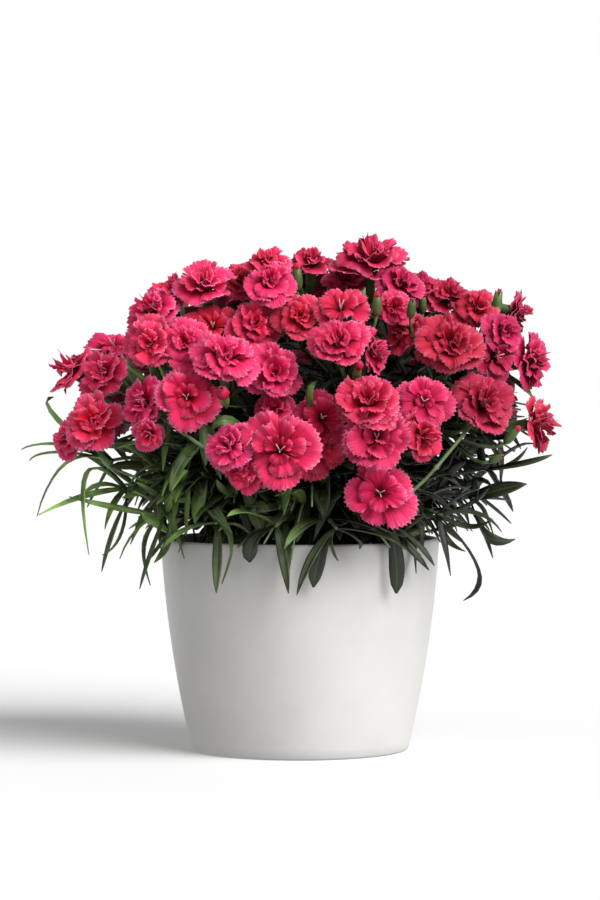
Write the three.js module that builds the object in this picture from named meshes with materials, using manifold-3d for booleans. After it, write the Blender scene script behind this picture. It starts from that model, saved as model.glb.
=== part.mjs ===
// A potted dwarf dianthus in full bloom: a plain white pot filled with soil, leafy stems that
// stand in it, and double pink blooms seated in the calyx at the end of each flower stalk.
// Millimetres, +Z up, origin at the centre of the pot's flat base, front towards -Y.
import * as THREE from 'three';
import { mergeVertices } from 'three/addons/utils/BufferGeometryUtils.js';
import Module from 'manifold-3d';

const wasm = await Module();
wasm.setup();

// ---- driving dimensions ---------------------------------------------------------------------

const GAP = 0.3; // between pieces that touch on the real plant
const ROOM = 0.5; // kept between pieces that pass each other
const SCRAP = 1; // mm3
const DEGREE = Math.PI / 180;
const GOLDEN_ANGLE = Math.PI * (3 - Math.sqrt(5));

const POT_HEIGHT = 110;
const POT_BASE_RADIUS = 56.3;
const POT_BELLY_RADIUS = 69.5; // handle of the wall's curve, half way up
const POT_RIM_RADIUS = 72.5;
const POT_WALL = 3.5;
const POT_FLOOR = 5;
const POT_SIDES = 32;
const BASE_BEVEL = 1.2;
const RIM_BEVEL = 0.8;

const SOIL_TOP = 100;
const SOIL_SIDES = 16;
const SOIL_RINGS = [38, 0]; // radii of the surface's rings
const SOIL_SHOULDER = 2; // how much lower it is along the wall
const SOIL_BUMP = 1.6;
const SOIL_SEED = 77;

const STEM_COUNT = 9;
const STEM_RADIUS = 2.1;
const STEM_SIDES = 5;
const HOLE_DEPTH = 18;
const FOOT_SPREAD = 34; // how far from the middle the stems leave the soil
const FIRST_STEM_TURN = 0.6;
const STEM_STRAIGHT = 18; // height above the soil of the curve's two handles
const STEM_LEAN = 42;
const LEAN_NEAR = 8; // radius of the upper handle: the inmost stem's, and what the outmost adds
const LEAN_FAR = 44;
const TIP_NEAR = 12; // radius of the tip, likewise
const TIP_FAR = 62;
const TIP_HEIGHT = 182;
const TIP_DROP = 34; // of the outmost stem's tip
const STEM_STOPS = [0.28, 0.4, 0.55, 0.7, 0.85, 0.98];

const STALK_RADIUS = 1.15;
const STALK_STOPS = [0, 0.15, 0.6, 1];
const STALK_STARTS = [0.7, 0.55, 0.85, 0.4, 0.98]; // places along a stem, best first
const CALYX_LENGTH = 15;
const CALYX_RADIUS = 2.9;
const SEAT_ROOM = 3.2; // about a calyx, which only its own stalk enters
const FORK_ROOM = 9; // about a fork, where stalks of one stem touch
const BOWS = [0.33, 0.5, 0.2, 0.7]; // handles of a stalk's curve, in shares of its span

const SHOOT_RADIUS = 1.5;
const SHOOT_STOPS = [0, 0.3, 0.7, 0.96];
const SHOOT_STARTS = [0.28, 0.4];
const SHOOT_DROOP = 0.25;

// The blooms lie on a dome above the pot.
const DOME_MIDDLE = 166;
const DOME_WIDE = 132;
const DOME_DEEP = 112;
const DOME_HIGH = 98;
const FULL_WIDTH = 33; // wider blooms have a full heart

// The front blooms and leaves are placed as they line up for an eye this far in front.
const EYE_DISTANCE = 1800;
const EYE_RISE = 1.6 * DEGREE;
const EYE_AIM = 155.5;

// Front blooms, fused in bunches where their petals press together. Each bloom: across, up and
// width in mm as seen from the front, the way it faces (turn to the right, rise, in degrees),
// and mm behind the dome.
const FRONT_BUNCHES = [
  [[42, 134, 36, 5, 12, 0]],
  [[-11, 156, 42, -5, 12, -4], [-38, 158, 27, -35, 18, 0], [-31, 145, 24, -40, -5, 0]],
  [[35, 182, 34, -5, 42, 2], [40, 163, 36, -3, 22, -2]],
  [[9, 157, 31, 14, 12, 0], [12, 173, 31, 8, 16, 0]],
  [[65, 182, 30, 10, 22, 2], [65, 163, 27, 32, 10, 0]],
  [[-59, 184, 33, 0, 16, 0]],
  [[96, 181, 35, 28, 36, 0]],
  [[78, 213, 37, 0, 40, 0]],
  [[-39, 205, 34, 2, 48, -2]],
  [[20, 213, 29, -5, 36, 0]],
  [[21, 232, 30, -2, 42, 0]],
  [[-109, 171, 32, -26, 30, 0], [-122, 162, 23, -50, 12, -12]],
  [[-83, 180, 29, -48, 14, 2], [-79, 163, 18, -16, -26, 2]],
  [[-105, 196, 28, -44, 28, 2]],
  [[-120, 199, 33, -82, 44, 0]],
  [[125, 169, 31, 72, 4, 0]],
  [[123, 202, 31, 60, 10, 0]],
  [[104, 205, 28, 44, 14, 4], [107, 218, 24, 40, 24, -18]],
  [[-79, 211, 28, -24, 18, -8], [-60, 212, 29, -4, 28, 2]],
  [[0, 226, 26, 4, 28, 2]],
  [[-16, 244, 27, 0, 42, 0], [-17, 255, 24, 0, 56, -10]],
  [[-50, 243, 31, -10, 52, 0]],
  [[-23, 222, 28, 10, 26, 2]],
  [[-46, 222, 27, 2, 40, 0]],
  [[-77, 230, 31, -34, 42, 0], [-67, 240, 24, -14, 60, 2]],
  [[37, 257, 40, 2, 72, -6], [53, 244, 25, 28, 40, 4]],
  [[24, 246, 24, -10, 50, 4]],
  [[92, 230, 26, 12, 42, 0]],
  [[-101, 213, 27, -24, 62, -6]],
  [[114, 226, 25, 84, -18, 10]],
  [[78, 238, 26, 12, 46, 0], [64, 241, 22, 10, 44, 6]],
  [[54, 218, 24, -42, 30, 10]],
  [[40, 207, 26, 68, 6, 10]],
  [[49, 230, 21, 12, 10, 12]],
  [[6, 255, 21, 4, 62, 12]],
  [[-31, 245, 24, -12, 36, 6]],
  [[-13, 196, 30, 6, 24, 20]],
  [[-14, 176, 23, -10, 30, 10]],
];

// Back blooms stand in bunches of three. Each bunch: the way it faces (turn, rise), in degrees.
// Each bloom of a bunch: its place in mm from the bunch's middle (along, up), before the bunch is
// twisted by up to BACK_TWIST degrees.
const BACK_BUNCHES = [
  [118, 12], [156, -10], [197, -7], [242, 11], [148, 26], [183, 19], [217, 27],
  [122, 48], [181, 51], [236, 49], [190, 80],
];
const BACK_BUNCH = [[-12, -7], [12, -7], [0, 13]];
const BACK_TWIST = 60;
const BACK_TURN = 1; // degrees that a bloom's turn and rise vary by
const BACK_WIDTH = 33;
const BACK_SPREAD = 3; // that its width varies by
const BACK_SEED = 55;
const BACK_WIDE = 118; // the dome is a little smaller behind
const BACK_DEEP = 96;
const BACK_HIGH = 89;

// A bloom's rings of petals from its claw up. Reach, height and ruffle of the edge are in half
// widths of the bloom; cut lists the reach of the edge points of one of the five petals.
const THROAT = { reach: 0.16, height: 0.12, ruffle: 0, cut: [1] };
const OUTER_PETALS = { reach: 1, height: 0.4, ruffle: 0.045, cut: [0.98, 0.9, 1.02, 0.77] };
const INNER_FOLD = { reach: 0.46, height: 0.43, ruffle: 0, cut: [1] };
const MIDDLE_PETALS = { reach: 0.74, height: 0.68, ruffle: 0.035, cut: [0.8, 1.02] };
const HEART_FOLD = { reach: 0.26, height: 0.6, ruffle: 0, cut: [1] };
const HEART_PETALS = { reach: 0.42, height: 0.84, ruffle: 0.02, cut: [1] };
const BACK_OUTER_CUT = [0.95, 1.03, 0.76];
const BACK_MIDDLE_CUT = [1];
const FULL_HEART = 0.66;
const PLAIN_HEART = 0.5;
const CUPPING = 0.06;

// Balls that stand for the room of a bloom: count, reach, height and radius in half widths.
const BLOOM_BALLS = [[14, 0.86, 0.42, 0.16], [6, 0.5, 0.46, 0.28], [1, 0, 0.4, 0.34]];
const CALYX_BALLS = [0.15, 0.4, 0.65, 0.9]; // places along the calyx

// Leafy shoots without flowers lean out over the rim. Each ends at x, y, z.
const SHOOT_ENDS = [
  [-100, -12, 150], [-92, -34, 136], [-70, -52, 124], [-42, -74, 121],
  [-12, -86, 120], [18, -86, 119], [46, -74, 121], [72, -52, 124],
  [90, -24, 131], [100, 4, 145], [88, 38, 130], [60, 64, 124],
  [22, 86, 120], [-24, 86, 120], [-62, 64, 124], [-92, 28, 132],
];

// Leaf outlines: place along the leaf and share of its full width.
const POINTED = [[0, 0], [0.1, 0.6], [0.45, 1], [0.78, 0.7], [1, 0]];
const SIMPLE = [[0, 0], [0.3, 1], [0.7, 0.8], [1, 0]];
const BLUNT = [[0, 0], [0.1, 0.6], [0.5, 0.95], [0.85, 0.9], [1, 0]];
const KEEL = 0.9; // depth of the rib below the two edges
const LEAF_BALLS = [[0.1, 0.2], [0.2, 0.4], [0.35, 0.45], [0.5, 0.45], [0.65, 0.4], [0.8, 0.3], [0.97, 0.1]];
const LEAF_ROOM = 0.4;

// Front leaves that show by themselves, as seen from the front: bend (across, up, depth),
// tip (across, up, depth), width, outline. Each grows from the nearest shoot.
const SHOWN_LEAVES = [
  [[-126, 159, -16], [-145, 156, -12], 4, POINTED],
  [[-127, 155, -24], [-141, 150, -26], 3, POINTED],
  [[-122, 149, -34], [-137, 121, -36], 4, POINTED],
  [[-112, 132, -44], [-136, 122, -48], 4, POINTED],
  [[-111, 144, -48], [-110, 101, -52], 5, POINTED],
  [[-93, 113, -40], [-103, 101, -40], 3, POINTED],
  [[-81, 108, -36], [-78, 85, -30], 5, POINTED],
  [[-66, 118, -62], [-60, 99, -54], 4, POINTED],
  [[-68, 110, -48], [-76, 97, -44], 7, POINTED],
  [[-36, 107, -76], [-41, 86, -70], 6, POINTED],
  [[-24, 109, -80], [-26, 97, -76], 8, BLUNT],
  [[11, 104, -82], [7, 84, -78], 8, BLUNT],
  [[17, 106, -84], [20, 98, -84], 4, POINTED],
  [[30, 110, -80], [31, 104, -78], 3, POINTED],
  [[50, 102, -66], [50, 81, -62], 8, BLUNT],
  [[76, 110, -46], [86, 103, -50], 5, POINTED],
  [[93, 94, -40], [85, 77, -42], 4, POINTED],
  [[98, 111, -34], [112, 109, -36], 6, POINTED],
  [[92, 123, -54], [105, 113, -60], 5, POINTED],
  [[88, 116, -40], [100, 120, -42], 5, POINTED],
  [[103, 135, -30], [118, 138, -32], 8, POINTED],
  [[117, 149, -10], [131, 153, -12], 3, POINTED],
  [[110, 149, 0], [118, 157, 0], 3, POINTED],
  [[93, 140, -36], [92, 128, -40], 5, POINTED],
  [[-61, 146, -70], [-67, 134, -78], 7, POINTED],
  [[-45, 125, -80], [-35, 112, -84], 6, POINTED],
  [[64, 123, -66], [52, 112, -70], 4, POINTED],
];

// Leaf pairs: place along the shoot or stalk, length and width.
const TOP_PAIR = { place: 0.96, length: 34, width: 5 };
const LOW_PAIR = { place: 0.7, length: 38, width: 5.5 };
const STALK_PAIR = { place: 0.6, length: 32, width: 4.5 };
const LONG_STALK = 30; // every fifth stalk that is longer bears a pair
const STALK_PAIR_STEP = 5;
const SWINGS = [0, 0.5, -0.5, 1, -1, 1.4, -1.4]; // ways round the stem that a leaf may try, in radians

// ---- seeded draws, places and room ------------------------------------------------------------

function seeded(start) {
  const modulus = 2147483647;
  let state = (start * 7919 + 104729) % modulus;
  return (low, high) => {
    state = (state * 16807) % modulus;
    return low + (high - low) * (state / modulus);
  };
}

const vec = (x, y, z) => new THREE.Vector3(x, y, z);

// The true place of a point that lines up with (across, up) from the front, at a given depth.
function asSeen(across, up, depth) {
  const rise = up - EYE_AIM;
  const sin = Math.sin(EYE_RISE);
  const cos = Math.cos(EYE_RISE);
  const height = (rise * (EYE_DISTANCE + depth * cos) - EYE_DISTANCE * depth * sin)
    / (EYE_DISTANCE * cos + rise * sin);
  const scale = (EYE_DISTANCE + depth * cos - height * sin) / EYE_DISTANCE;
  return vec(across * scale, depth, EYE_AIM + height);
}

function facing(turn, rise) {
  const level = Math.cos(rise * DEGREE);
  return vec(Math.sin(turn * DEGREE) * level, -Math.cos(turn * DEGREE) * level, Math.sin(rise * DEGREE));
}

// Every piece claims room as a row of balls, so that what comes later can keep clear of it.
const claims = [];

function isClear(balls, owner) {
  return balls.every(({ at, radius }) => claims.every((other) => (
    other.owner === owner || at.distanceTo(other.at) > radius + other.radius + ROOM
  )));
}

function claim(balls, owner) {
  balls.forEach(({ at, radius }) => claims.push({ at, radius, owner }));
}

function potRadius(height) {
  const t = height / POT_HEIGHT;
  return (1 - t) ** 2 * POT_BASE_RADIUS + 2 * t * (1 - t) * POT_BELLY_RADIUS + t ** 2 * POT_RIM_RADIUS;
}

function isClearOfPot({ at, radius }) {
  const out = Math.hypot(at.x, at.y);
  if (at.z > POT_HEIGHT + radius + GAP) {
    return true;
  }
  if (at.z > SOIL_TOP + SOIL_BUMP + radius && out < POT_RIM_RADIUS - POT_WALL - radius - 2 * GAP) {
    return true;
  }
  return at.z > radius && out > potRadius(Math.min(at.z, POT_HEIGHT)) + radius + GAP;
}

// ---- solids from rings of points ----------------------------------------------------------------

// A closed skin over rings of points that run counter-clockwise about the way they are stacked.
// It starts and ends at a ring of one point; beside any ring stands one of a multiple of its points.
function loft(rings) {
  const faces = [];
  let start = 0;
  for (let k = 0; k + 1 < rings.length; k += 1) {
    const low = rings[k].length;
    const high = rings[k + 1].length;
    const next = start + low;
    const many = Math.max(low, high);
    for (let i = 0; i < many; i += 1) {
      const after = (i + 1) % many;
      const a = start + Math.floor(i * low / many);
      const b = start + Math.floor(after * low / many);
      const c = next + Math.floor(i * high / many);
      const d = next + Math.floor(after * high / many);
      if (a !== b) {
        faces.push(a, b, d);
      }
      if (c !== d) {
        faces.push(a, d, c);
      }
    }
    start = next;
  }
  const geometry = new THREE.BufferGeometry().setFromPoints(rings.flat());
  geometry.setIndex(faces);
  return geometry;
}

function merged(geometry) {
  const bare = geometry.clone();
  bare.deleteAttribute('normal');
  bare.deleteAttribute('uv');
  return mergeVertices(bare, 1e-4);
}

function solid(geometry) {
  const { attributes, index } = merged(geometry);
  return new wasm.Manifold(new wasm.Mesh({
    numProp: 3,
    vertProperties: Float32Array.from(attributes.position.array),
    triVerts: Uint32Array.from(index.array),
  }));
}

function geometryOf(manifold) {
  const mesh = manifold.getMesh();
  const geometry = new THREE.BufferGeometry();
  geometry.setAttribute('position', new THREE.BufferAttribute(mesh.vertProperties, mesh.numProp));
  geometry.setIndex(new THREE.BufferAttribute(mesh.triVerts, 1));
  return geometry;
}

// Joins pieces that are sunk into each other, and drops the loose scraps that joining can leave.
function fuse(geometries) {
  const whole = geometries.map(solid).reduce((sum, piece) => sum.add(piece));
  const bodies = whole.decompose().filter((body) => body.volume() > SCRAP);
  return geometryOf(bodies.reduce((sum, body) => sum.add(body)));
}

// Rings of a tube along a curve: stops are [place along the curve, radius].
function tubeRings(curve, stops, sides) {
  let side = vec(0.31, 0.94, 0.12);
  return stops.map(([t, radius]) => {
    const along = curve.getTangent(t).normalize();
    side = side.clone().addScaledVector(along, -side.dot(along)).normalize();
    const middle = curve.getPoint(t);
    if (radius === 0) {
      return [middle];
    }
    return Array.from({ length: sides }, (_, i) => (
      side.clone().applyAxisAngle(along, i * 2 * Math.PI / sides).multiplyScalar(radius).add(middle)
    ));
  });
}

// Balls along the straight stretches between the stops of a tube.
function tubeBalls(curve, stops, radius) {
  return stops.slice(1).flatMap((stop, k) => {
    const from = curve.getPoint(stops[k]);
    const to = curve.getPoint(stop);
    const count = Math.ceil(from.distanceTo(to) / (1.6 * radius));
    return Array.from({ length: count }, (_, i) => ({
      at: from.clone().lerp(to, (i + 0.5) / count),
      radius,
    }));
  });
}

// ---- blooms ---------------------------------------------------------------------------------------

const firstSide = (axis) => vec(0.21, 0.37, 0.9).cross(axis).normalize();

function bloomRings(bloom) {
  const draw = seeded(bloom.number * 31 + 5);
  const half = bloom.width / 2;
  const side = firstSide(bloom.axis);
  const across = bloom.axis.clone().cross(side);
  const spin = draw(0, 2 * Math.PI);
  const point = (angle, reach, height) => bloom.claw.clone()
    .addScaledVector(side, Math.cos(angle + spin) * reach * half)
    .addScaledVector(across, Math.sin(angle + spin) * reach * half)
    .addScaledVector(bloom.axis, height * half);
  const petals = ({ reach, height, ruffle, cut }, lift = 0) => {
    const count = cut.length * 5;
    return Array.from({ length: count }, (_, i) => {
      const angle = (i - (cut.length - 1) / 2) * 2 * Math.PI / count;
      const wave = (i % 2 === 0 ? ruffle : -ruffle) + draw(-ruffle, ruffle) / 2;
      return point(angle, reach * cut[i % cut.length] * draw(0.96, 1.03), height + lift + wave);
    });
  };
  const outer = bloom.isBack ? { ...OUTER_PETALS, cut: BACK_OUTER_CUT } : OUTER_PETALS;
  const middle = bloom.isBack ? { ...MIDDLE_PETALS, cut: BACK_MIDDLE_CUT } : MIDDLE_PETALS;
  const cup = draw(-CUPPING, CUPPING);
  const rings = [
    [point(0, 0, 0)], petals(THROAT), petals(outer, cup), petals(INNER_FOLD), petals(middle, cup),
  ];
  if (bloom.isFull) {
    rings.push(petals(HEART_FOLD), petals(HEART_PETALS));
  }
  rings.push([point(0, 0, bloom.isFull ? FULL_HEART : PLAIN_HEART)]);
  return rings;
}

function bloomBalls({ claw, axis, width }) {
  const half = width / 2;
  const side = firstSide(axis);
  const petals = BLOOM_BALLS.flatMap(([count, reach, height, radius]) => (
    Array.from({ length: count }, (_, i) => ({
      at: side.clone().applyAxisAngle(axis, i * 2 * Math.PI / count).multiplyScalar(reach * half)
        .addScaledVector(axis, height * half).add(claw),
      radius: radius * half,
    }))
  ));
  const calyx = CALYX_BALLS.map((part) => ({
    at: claw.clone().addScaledVector(axis, -part * CALYX_LENGTH),
    radius: CALYX_RADIUS,
  }));
  return [...petals, ...calyx];
}

const blooms = [];

// A bunch moves back a millimetre at a time until it is clear of the bunches that stand before it.
function settle(bunch, back) {
  const owner = `blooms ${blooms.length}`;
  for (let step = 0; step < 60; step += 1) {
    const balls = bunch.flatMap(bloomBalls);
    if (isClear(balls, owner) && balls.every(isClearOfPot)) {
      break;
    }
    bunch.forEach((bloom) => bloom.claw.add(back));
  }
  claim(bunch.flatMap(bloomBalls), owner);
  blooms.push(...bunch);
}

const frontBunches = FRONT_BUNCHES.map((rows) => rows.map(([across, up, width, turn, rise, behind]) => {
  const level = 1 - (across / DOME_WIDE) ** 2 - ((up - DOME_MIDDLE) / DOME_HIGH) ** 2;
  const depth = behind - DOME_DEEP * Math.sqrt(Math.max(level, 0.01));
  const axis = facing(turn, rise);
  const claw = asSeen(across, up, depth).addScaledVector(axis, -width / 4);
  return { axis, claw, width, isFull: width > FULL_WIDTH };
}));

const backBunches = BACK_BUNCHES.map(([middle, height], k) => {
  const draw = seeded(k + BACK_SEED);
  const reach = Math.hypot(Math.cos(middle * DEGREE) * BACK_WIDE, Math.sin(middle * DEGREE) * BACK_DEEP);
  const twist = draw(-BACK_TWIST, BACK_TWIST) * DEGREE;
  return BACK_BUNCH.map(([x, z]) => {
    const along = x * Math.cos(twist) - z * Math.sin(twist);
    const up = x * Math.sin(twist) + z * Math.cos(twist);
    const rise = height + up / BACK_HIGH / DEGREE + draw(-BACK_TURN, BACK_TURN);
    const turn = middle + along / reach / Math.cos(height * DEGREE) / DEGREE + draw(-BACK_TURN, BACK_TURN);
    const axis = facing(turn, rise);
    const width = BACK_WIDTH + draw(-BACK_SPREAD, BACK_SPREAD);
    const claw = vec(axis.x * BACK_WIDE, axis.y * BACK_DEEP, DOME_MIDDLE + axis.z * BACK_HIGH);
    return { axis, claw: claw.addScaledVector(axis, -width / 4), width, isBack: true };
  });
});

const bunches = [...frontBunches, ...backBunches];
bunches.forEach((bunch, b) => {
  bunch.forEach((bloom, i) => { bloom.number = b * 4 + i; });
  settle(bunch, bunch[0].isBack ? bunch[0].axis.clone().negate() : vec(0, 1, 0));
});

// ---- stems, shoots and stalks ---------------------------------------------------------------------

const stems = Array.from({ length: STEM_COUNT }, (_, i) => {
  const turn = i * GOLDEN_ANGLE + FIRST_STEM_TURN;
  const spread = Math.sqrt((i + 0.3) / STEM_COUNT);
  const at = (radius, height) => vec(Math.cos(turn) * radius, Math.sin(turn) * radius, height);
  const curve = new THREE.CubicBezierCurve3(
    at(FOOT_SPREAD * spread, SOIL_TOP - HOLE_DEPTH + GAP),
    at(FOOT_SPREAD * spread, SOIL_TOP + STEM_STRAIGHT),
    at(LEAN_NEAR + LEAN_FAR * spread, SOIL_TOP + STEM_LEAN),
    at(TIP_NEAR + TIP_FAR * spread, TIP_HEIGHT - TIP_DROP * spread ** 2),
  );
  const heading = curve.getPoint(1).sub(vec(0, 0, SOIL_TOP)).normalize();
  return { owner: `stem ${i}`, curve, heading, pieces: [] };
});

stems.forEach((stem) => {
  const rings = STEM_STOPS.map((t) => [t, STEM_RADIUS * (1.1 - 0.5 * t)]);
  const stops = [[0.02, 0], [0.05, STEM_RADIUS], ...rings, [1, 0]];
  stem.pieces.push(loft(tubeRings(stem.curve, stops, STEM_SIDES)));
  claim(tubeBalls(stem.curve, STEM_STOPS, STEM_RADIUS), stem.owner);
});

// Tries each stem, the nearest in heading first, with each bow and starting place, and keeps the
// first curve to the target that is clear. Near its seat a stalk may touch the calyx's own room.
function route(target, arrive, starts, stops, radius, seat) {
  const heading = target.clone().sub(vec(0, 0, SOIL_TOP)).normalize();
  const order = [...stems].sort((one, other) => other.heading.dot(heading) - one.heading.dot(heading));
  for (const stem of order) {
    for (const bow of BOWS) {
      for (const start of starts) {
        const from = stem.curve.getPoint(start);
        const span = from.distanceTo(target);
        const curve = new THREE.CubicBezierCurve3(
          from,
          from.clone().addScaledVector(stem.curve.getTangent(start), span * bow),
          target.clone().addScaledVector(arrive, -span * bow),
          target,
        );
        const balls = tubeBalls(curve, stops, radius).filter(({ at }) => at.distanceTo(from) > STEM_RADIUS);
        const free = balls.filter(({ at }) => at.distanceTo(target) > seat);
        const apart = free.filter(({ at }) => at.distanceTo(from) > FORK_ROOM);
        if (isClear(free, stem.owner) && balls.every(isClearOfPot) && isClear(apart, 'no one')) {
          claim(balls, stem.owner);
          return { stem, curve };
        }
      }
    }
  }
  throw new Error(`no clear way to ${target.toArray()}`);
}

// A flower stalk and its calyx are one tube, which ends flat just short of the bloom's claw.
const stalks = blooms.map(({ claw, axis }) => {
  const mouth = claw.clone().addScaledVector(axis, -GAP);
  const neck = mouth.clone().addScaledVector(axis, -CALYX_LENGTH);
  const stalk = route(neck, axis, STALK_STARTS, STALK_STOPS, STALK_RADIUS, SEAT_ROOM);
  const rings = tubeRings(stalk.curve, [[0, 0], [0.15, STALK_RADIUS], [0.6, STALK_RADIUS]], 3);
  const cup = [[0.05, STALK_RADIUS], [0.35, CALYX_RADIUS], [0.99, CALYX_RADIUS * 0.9], [1, 0]];
  const calyx = tubeRings(new THREE.LineCurve3(neck, mouth), cup, 3);
  stalk.stem.pieces.push(loft([...rings, ...calyx]));
  return stalk;
});

const shoots = SHOOT_ENDS.map((end) => {
  const tip = vec(...end);
  const arrive = vec(tip.x, tip.y, 0).normalize().add(vec(0, 0, -SHOOT_DROOP)).normalize();
  const shoot = route(tip, arrive, SHOOT_STARTS, SHOOT_STOPS, SHOOT_RADIUS, 0);
  const stops = [[0, 0], [0.3, SHOOT_RADIUS], [0.7, SHOOT_RADIUS], [0.96, SHOOT_RADIUS], [1, 0]];
  shoot.stem.pieces.push(loft(tubeRings(shoot.curve, stops, 3)));
  return shoot;
});

// ---- leaves -----------------------------------------------------------------------------------------

function leafCurve(root, bend, tip) {
  const handle = bend.clone().multiplyScalar(2).addScaledVector(root, -0.5).addScaledVector(tip, -0.5);
  return new THREE.QuadraticBezierCurve3(root, handle, tip);
}

// A keeled blade: two edges above a rib.
function leafRings(curve, width, outline) {
  const [root, bend, tip] = [0, 0.5, 1].map((t) => curve.getPoint(t));
  let side = bend.clone().sub(root).cross(tip.clone().sub(bend)).normalize();
  if (side.length() < 0.5) {
    side = tip.clone().sub(root).cross(vec(0, 0, 1)).normalize();
  }
  const middle = curve.getTangent(0.5).cross(side);
  side.multiplyScalar(middle.z < 0 ? -1 : 1);
  return outline.map(([t, part]) => {
    const at = curve.getPoint(t);
    const top = curve.getTangent(t).cross(side).normalize();
    const half = side.clone().multiplyScalar(width * part / 2);
    if (part === 0) {
      return [at];
    }
    return [at.clone().add(half), at.clone().sub(half), at.clone().addScaledVector(top, -KEEL)];
  });
}

// Grows a leaf only where its room is free. A strict leaf also keeps clear of its own stem's pieces.
function growLeaf(stem, curve, width, outline, isStrict) {
  const balls = LEAF_BALLS.map(([t, part]) => ({ at: curve.getPoint(t), radius: part * width + LEAF_ROOM }));
  const isFree = isClear(balls, stem.owner) && balls.every(isClearOfPot)
    && (!isStrict || isClear(balls.slice(2), 'no one'));
  if (isFree) {
    claim(balls, stem.owner);
    stem.pieces.push(loft(leafRings(curve, width, outline)));
  }
  return isFree;
}

SHOWN_LEAVES.forEach(([bendSeen, tipSeen, width, outline]) => {
  const bend = asSeen(...bendSeen);
  const tip = asSeen(...tipSeen);
  const roots = shoots.flatMap(({ stem, curve }) => (
    [LOW_PAIR.place, TOP_PAIR.place].map((t) => ({ stem, root: curve.getPoint(t) }))
  ));
  roots.sort((one, other) => one.root.distanceTo(bend) - other.root.distanceTo(bend));
  roots.some(({ stem, root }) => growLeaf(stem, leafCurve(root, bend, tip), width, outline, false));
});

// A pair of opposite leaves at a node, bent out and down. Each takes the first way that is clear.
function growPair({ stem, curve }, { place, length, width }, number) {
  const draw = seeded(number * 13 + 7);
  const root = curve.getPoint(place);
  const along = curve.getTangent(place).normalize();
  const across = vec(0.3, 0.2, 0.93).cross(along).normalize();
  const turn = draw(0, Math.PI);
  [0, Math.PI].forEach((half) => {
    const size = length * draw(0.8, 1.15);
    const droop = draw(0.05, 0.3);
    SWINGS.some((swing) => {
      const reach = across.clone().applyAxisAngle(along, turn + half + swing)
        .multiplyScalar(0.8).addScaledVector(along, 0.6);
      const bend = root.clone().addScaledVector(reach, size * 0.55);
      const tip = root.clone().addScaledVector(reach, size * 0.95).add(vec(0, 0, -droop * size));
      return growLeaf(stem, leafCurve(root, bend, tip), width, SIMPLE, true);
    });
  });
}

shoots.forEach((shoot, i) => {
  growPair(shoot, TOP_PAIR, i * 2);
  growPair(shoot, LOW_PAIR, i * 2 + 1);
});
stalks.forEach((stalk, i) => {
  if (i % STALK_PAIR_STEP === 0 && stalk.curve.getLength() > LONG_STALK) {
    growPair(stalk, STALK_PAIR, i + 100);
  }
});

// ---- pot and soil -----------------------------------------------------------------------------------

const flat = (radius, height) => new THREE.Vector2(radius, height);
const wall = new THREE.QuadraticBezierCurve(
  flat(POT_BASE_RADIUS, 0),
  flat(POT_BELLY_RADIUS, POT_HEIGHT / 2),
  flat(POT_RIM_RADIUS, POT_HEIGHT),
);
const innerRadius = (height) => potRadius(height) - POT_WALL;
const potProfile = [
  flat(0, 0),
  flat(POT_BASE_RADIUS - BASE_BEVEL, 0),
  ...[0.012, 0.5, 0.99].map((t) => wall.getPoint(t)),
  flat(POT_RIM_RADIUS - RIM_BEVEL, POT_HEIGHT),
  flat(POT_RIM_RADIUS - POT_WALL + RIM_BEVEL, POT_HEIGHT),
  flat(POT_RIM_RADIUS - POT_WALL, POT_HEIGHT - RIM_BEVEL),
  flat(innerRadius(SOIL_TOP), SOIL_TOP),
  flat(innerRadius(POT_HEIGHT / 2), POT_HEIGHT / 2),
  flat(innerRadius(POT_FLOOR), POT_FLOOR),
  flat(0, POT_FLOOR),
];

function soilGeometry() {
  const draw = seeded(SOIL_SEED);
  const low = POT_FLOOR + GAP;
  const radius = (height) => innerRadius(height) - 2 * GAP;
  const profile = [
    flat(0, low),
    flat(radius(low), low),
    flat(radius(POT_HEIGHT / 2), POT_HEIGHT / 2),
    flat(radius(SOIL_TOP), SOIL_TOP - SOIL_SHOULDER),
    ...SOIL_RINGS.map((ring) => flat(ring, SOIL_TOP)),
  ];
  const geometry = merged(new THREE.LatheGeometry(profile, SOIL_SIDES));
  const { position } = geometry.attributes;
  for (let i = 0; i < position.count; i += 1) {
    if (position.getY(i) > SOIL_TOP - SOIL_SHOULDER - GAP) {
      position.setY(i, position.getY(i) + draw(-SOIL_BUMP, SOIL_BUMP));
    }
  }
  return geometry.rotateX(Math.PI / 2);
}

// The stems stand in bores that follow their curves.
const bores = stems.map(({ curve }) => {
  const radius = STEM_RADIUS + 1.5 * GAP;
  return loft(tubeRings(curve, [[0, 0], [0.03, radius], [0.3, radius], [0.4, 0]], STEM_SIDES));
});
const soil = bores.map(solid).reduce((whole, bore) => whole.subtract(bore), solid(soilGeometry()));

// ---- the assembly -----------------------------------------------------------------------------------

const plant = new THREE.Group();
const glaze = new THREE.MeshStandardMaterial({ color: '#e9e8e6', roughness: 0.45, metalness: 0 });
const peat = new THREE.MeshStandardMaterial({ color: '#2b2119', roughness: 0.95, metalness: 0 });
const green = new THREE.MeshStandardMaterial({ color: '#4a6a38', roughness: 0.6, metalness: 0 });
const pink = new THREE.MeshStandardMaterial({ color: '#d23a5c', roughness: 0.7, metalness: 0 });

function add(name, geometry, material) {
  const mesh = new THREE.Mesh(geometry, material.clone());
  mesh.name = name;
  plant.add(mesh);
}

add('pot', new THREE.LatheGeometry(potProfile, POT_SIDES).rotateX(Math.PI / 2), glaze);
add('soil', geometryOf(soil), peat);
stems.forEach((stem, i) => {
  add(`leafy_stem_${i + 1}`, fuse(stem.pieces), green);
});
bunches.forEach((bunch, i) => {
  add(`bloom_${i + 1}`, fuse(bunch.map((bloom) => loft(bloomRings(bloom)))), pink);
});

export default plant;
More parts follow.
